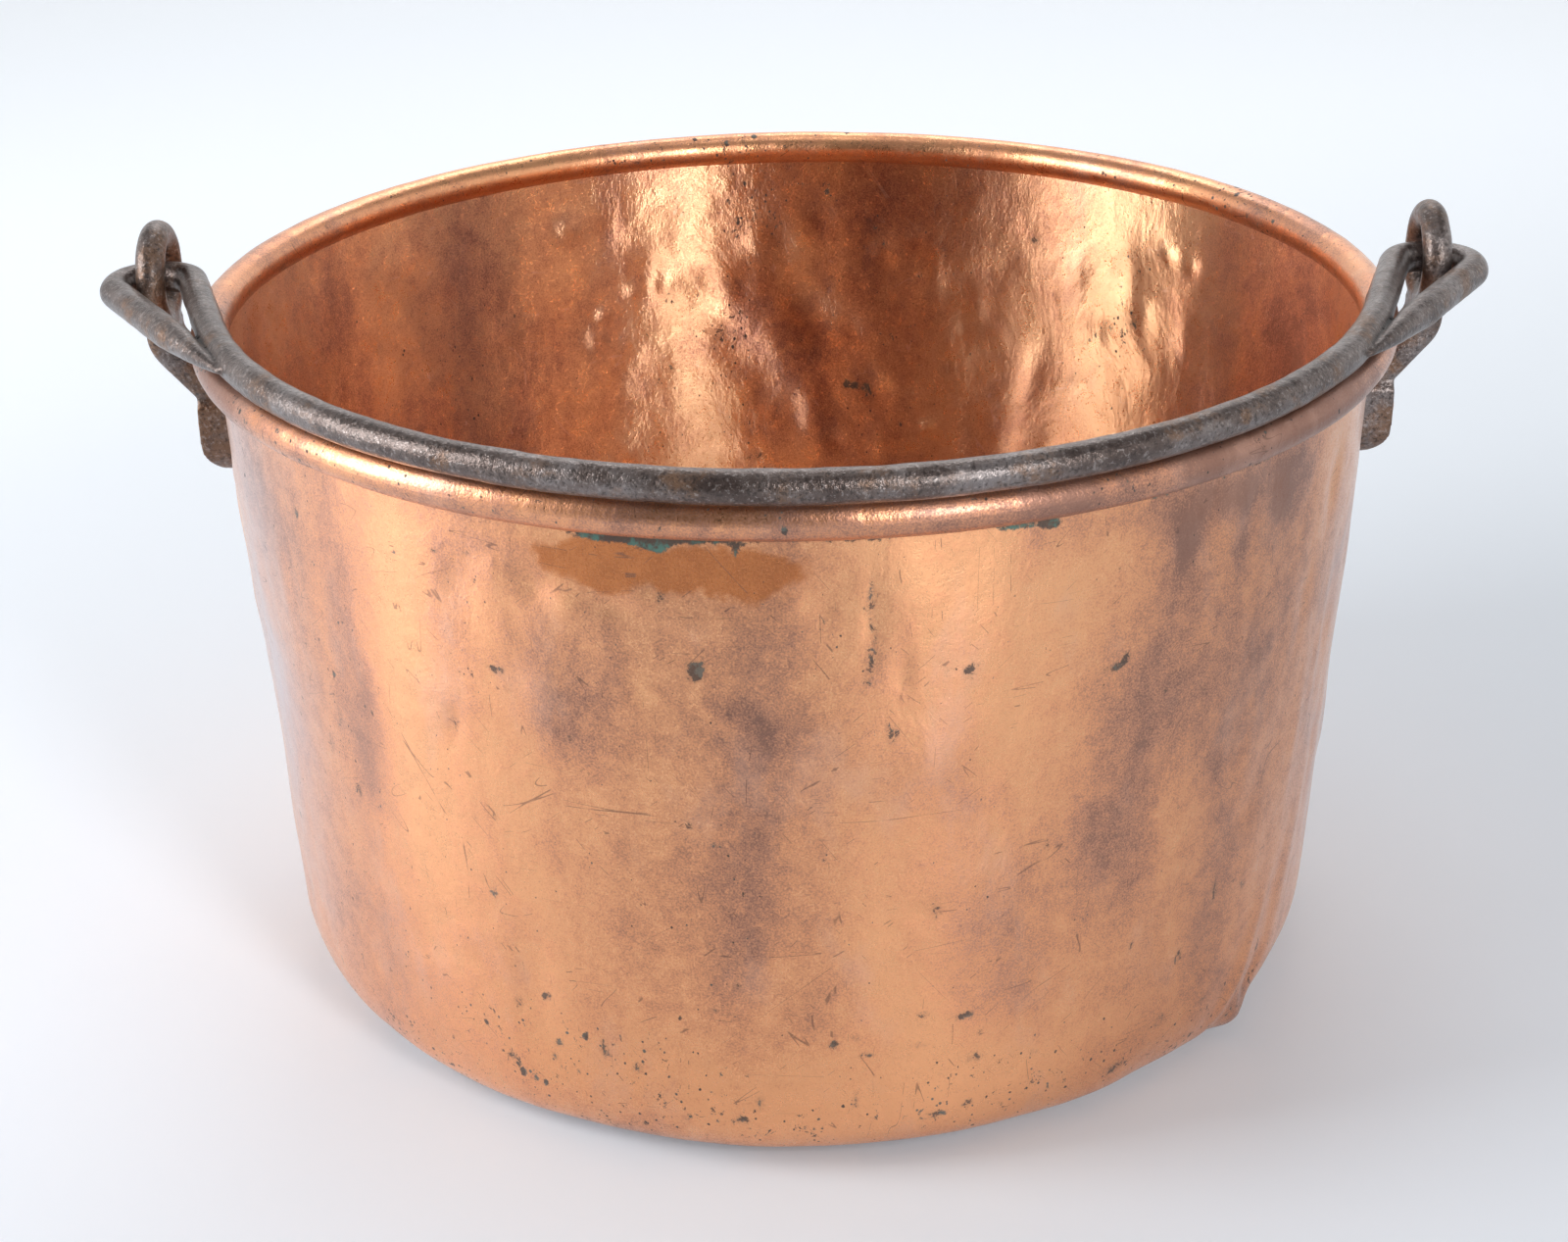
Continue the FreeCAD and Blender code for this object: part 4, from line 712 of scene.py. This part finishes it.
# ---------------------------------------------------------------- floor, room and light
PAPER, WHITE, SKY = (0.715, 0.765, 0.825), (0.985, 0.985, 0.985), (0.985, 0.99, 1.0, 1.0)
WORLD_LIT, WORLD_SEEN = 0.70, 0.97      # strength as a light, and in the picture and in metal
LAMP_AIM = (0, 0, 0.2)
SEEN_RAYS = ("Is Camera Ray", "Is Glossy Ray", "Is Transmission Ray")


def seen_ray(nodes, links):
    """1 where the picture or a reflection shows the thing itself, and 0 where it only lights."""
    path = nodes.new("ShaderNodeLightPath")
    seen = path.outputs[SEEN_RAYS[0]]
    for ray in SEEN_RAYS[1:]:
        most = nodes.new("ShaderNodeMath")
        most.operation = "MAXIMUM"
        links.new(seen, most.inputs[0])
        links.new(path.outputs[ray], most.inputs[1])
        seen = most.outputs[0]
    return seen


def plain(name, colour):
    t = Tree(name)
    t.put(t.out.inputs["Surface"], t.node("BsdfDiffuse", Color=colour))
    return t.mat


def floor_material():
    """White paper. Seen directly or in metal it glows a little, more at the back and far off."""
    t = Tree("floor_white")
    x, y, _ = t.split()
    glow = t.step(t.minus(y, t.times(x, 0.25)), -0.2, 1.6, 0.30)
    far = t.math("SQRT", t.sum(t.times(x, x), t.times(y, y)))
    glow = t.most(glow, t.step(far, 1.8, 4.0, 0.34))
    glow = t.times(seen_ray(t.nodes, t.links), t.sum(glow, 0.07))
    add = t.nodes.new("ShaderNodeAddShader")
    t.put(add.inputs[0], t.node("BsdfDiffuse", Color=PAPER))
    t.put(add.inputs[1], t.node("Emission", Color=WHITE, Strength=glow))
    t.put(t.out.inputs["Surface"], add.outputs[0])
    return t.mat


def card(name, width, height, at, tilt, material, hidden=False):
    """A flat sheet, tilted about x by degrees. A hidden one isn't in the picture itself."""
    mesh = bpy.data.meshes.new(name)
    w, h = width / 2, height / 2
    mesh.from_pydata([(-w, -h, 0), (w, -h, 0), (w, h, 0), (-w, h, 0)], [], [(0, 1, 2, 3)])
    mesh.materials.append(material)
    o = bpy.data.objects.new(name, mesh)
    scene.collection.objects.link(o)
    o.location, o.rotation_euler = at, (math.radians(tilt), 0, 0)
    o.visible_camera = not hidden


def lamp(name, power, size, at):
    data = bpy.data.lights.new(name, "AREA")
    data.shape, data.size, data.size_y = "RECTANGLE", size[0], size[1]
    data.energy = power
    o = bpy.data.objects.new(name, data)
    scene.collection.objects.link(o)
    o.location = at
    o.rotation_euler = (Vector(LAMP_AIM) - Vector(at)).to_track_quat("-Z", "Y").to_euler()


def make_world():
    world = bpy.data.worlds.new("studio")
    scene.world = world
    world.use_nodes = True
    nodes, links = world.node_tree.nodes, world.node_tree.links
    nodes.clear()
    level = nodes.new("ShaderNodeMapRange")
    links.new(seen_ray(nodes, links), level.inputs["Value"])
    level.inputs["To Min"].default_value = WORLD_LIT
    level.inputs["To Max"].default_value = WORLD_SEEN
    sky = nodes.new("ShaderNodeBackground")
    sky.inputs["Color"].default_value = SKY
    links.new(level.outputs[0], sky.inputs["Strength"])
    links.new(sky.outputs[0], nodes.new("ShaderNodeOutputWorld").inputs["Surface"])


card("floor", 14, 14, (0, 0, 0), 0, floor_material())
card("room_ceiling", 7, 7, (0, 0, 3.2), 180, plain("room_grey", (0.40, 0.40, 0.40)), hidden=True)
card("room_front", 7, 3.2, (0, -3.6, 1.6), 90, plain("room_dark", (0.12, 0.12, 0.12)), hidden=True)
make_world()
lamp("box_left", 31, (0.85, 1.3), (-1.83, -0.47, 0.95))
lamp("box_right", 33, (0.5, 1.3), (1.08, -2.20, 1.20))
lamp("box_back", 15, (1.6, 0.7), (0.1, 1.9, 2.2))
lamp("box_top", 5, (0.9, 0.9), (0.0, 0.2, 2.9))
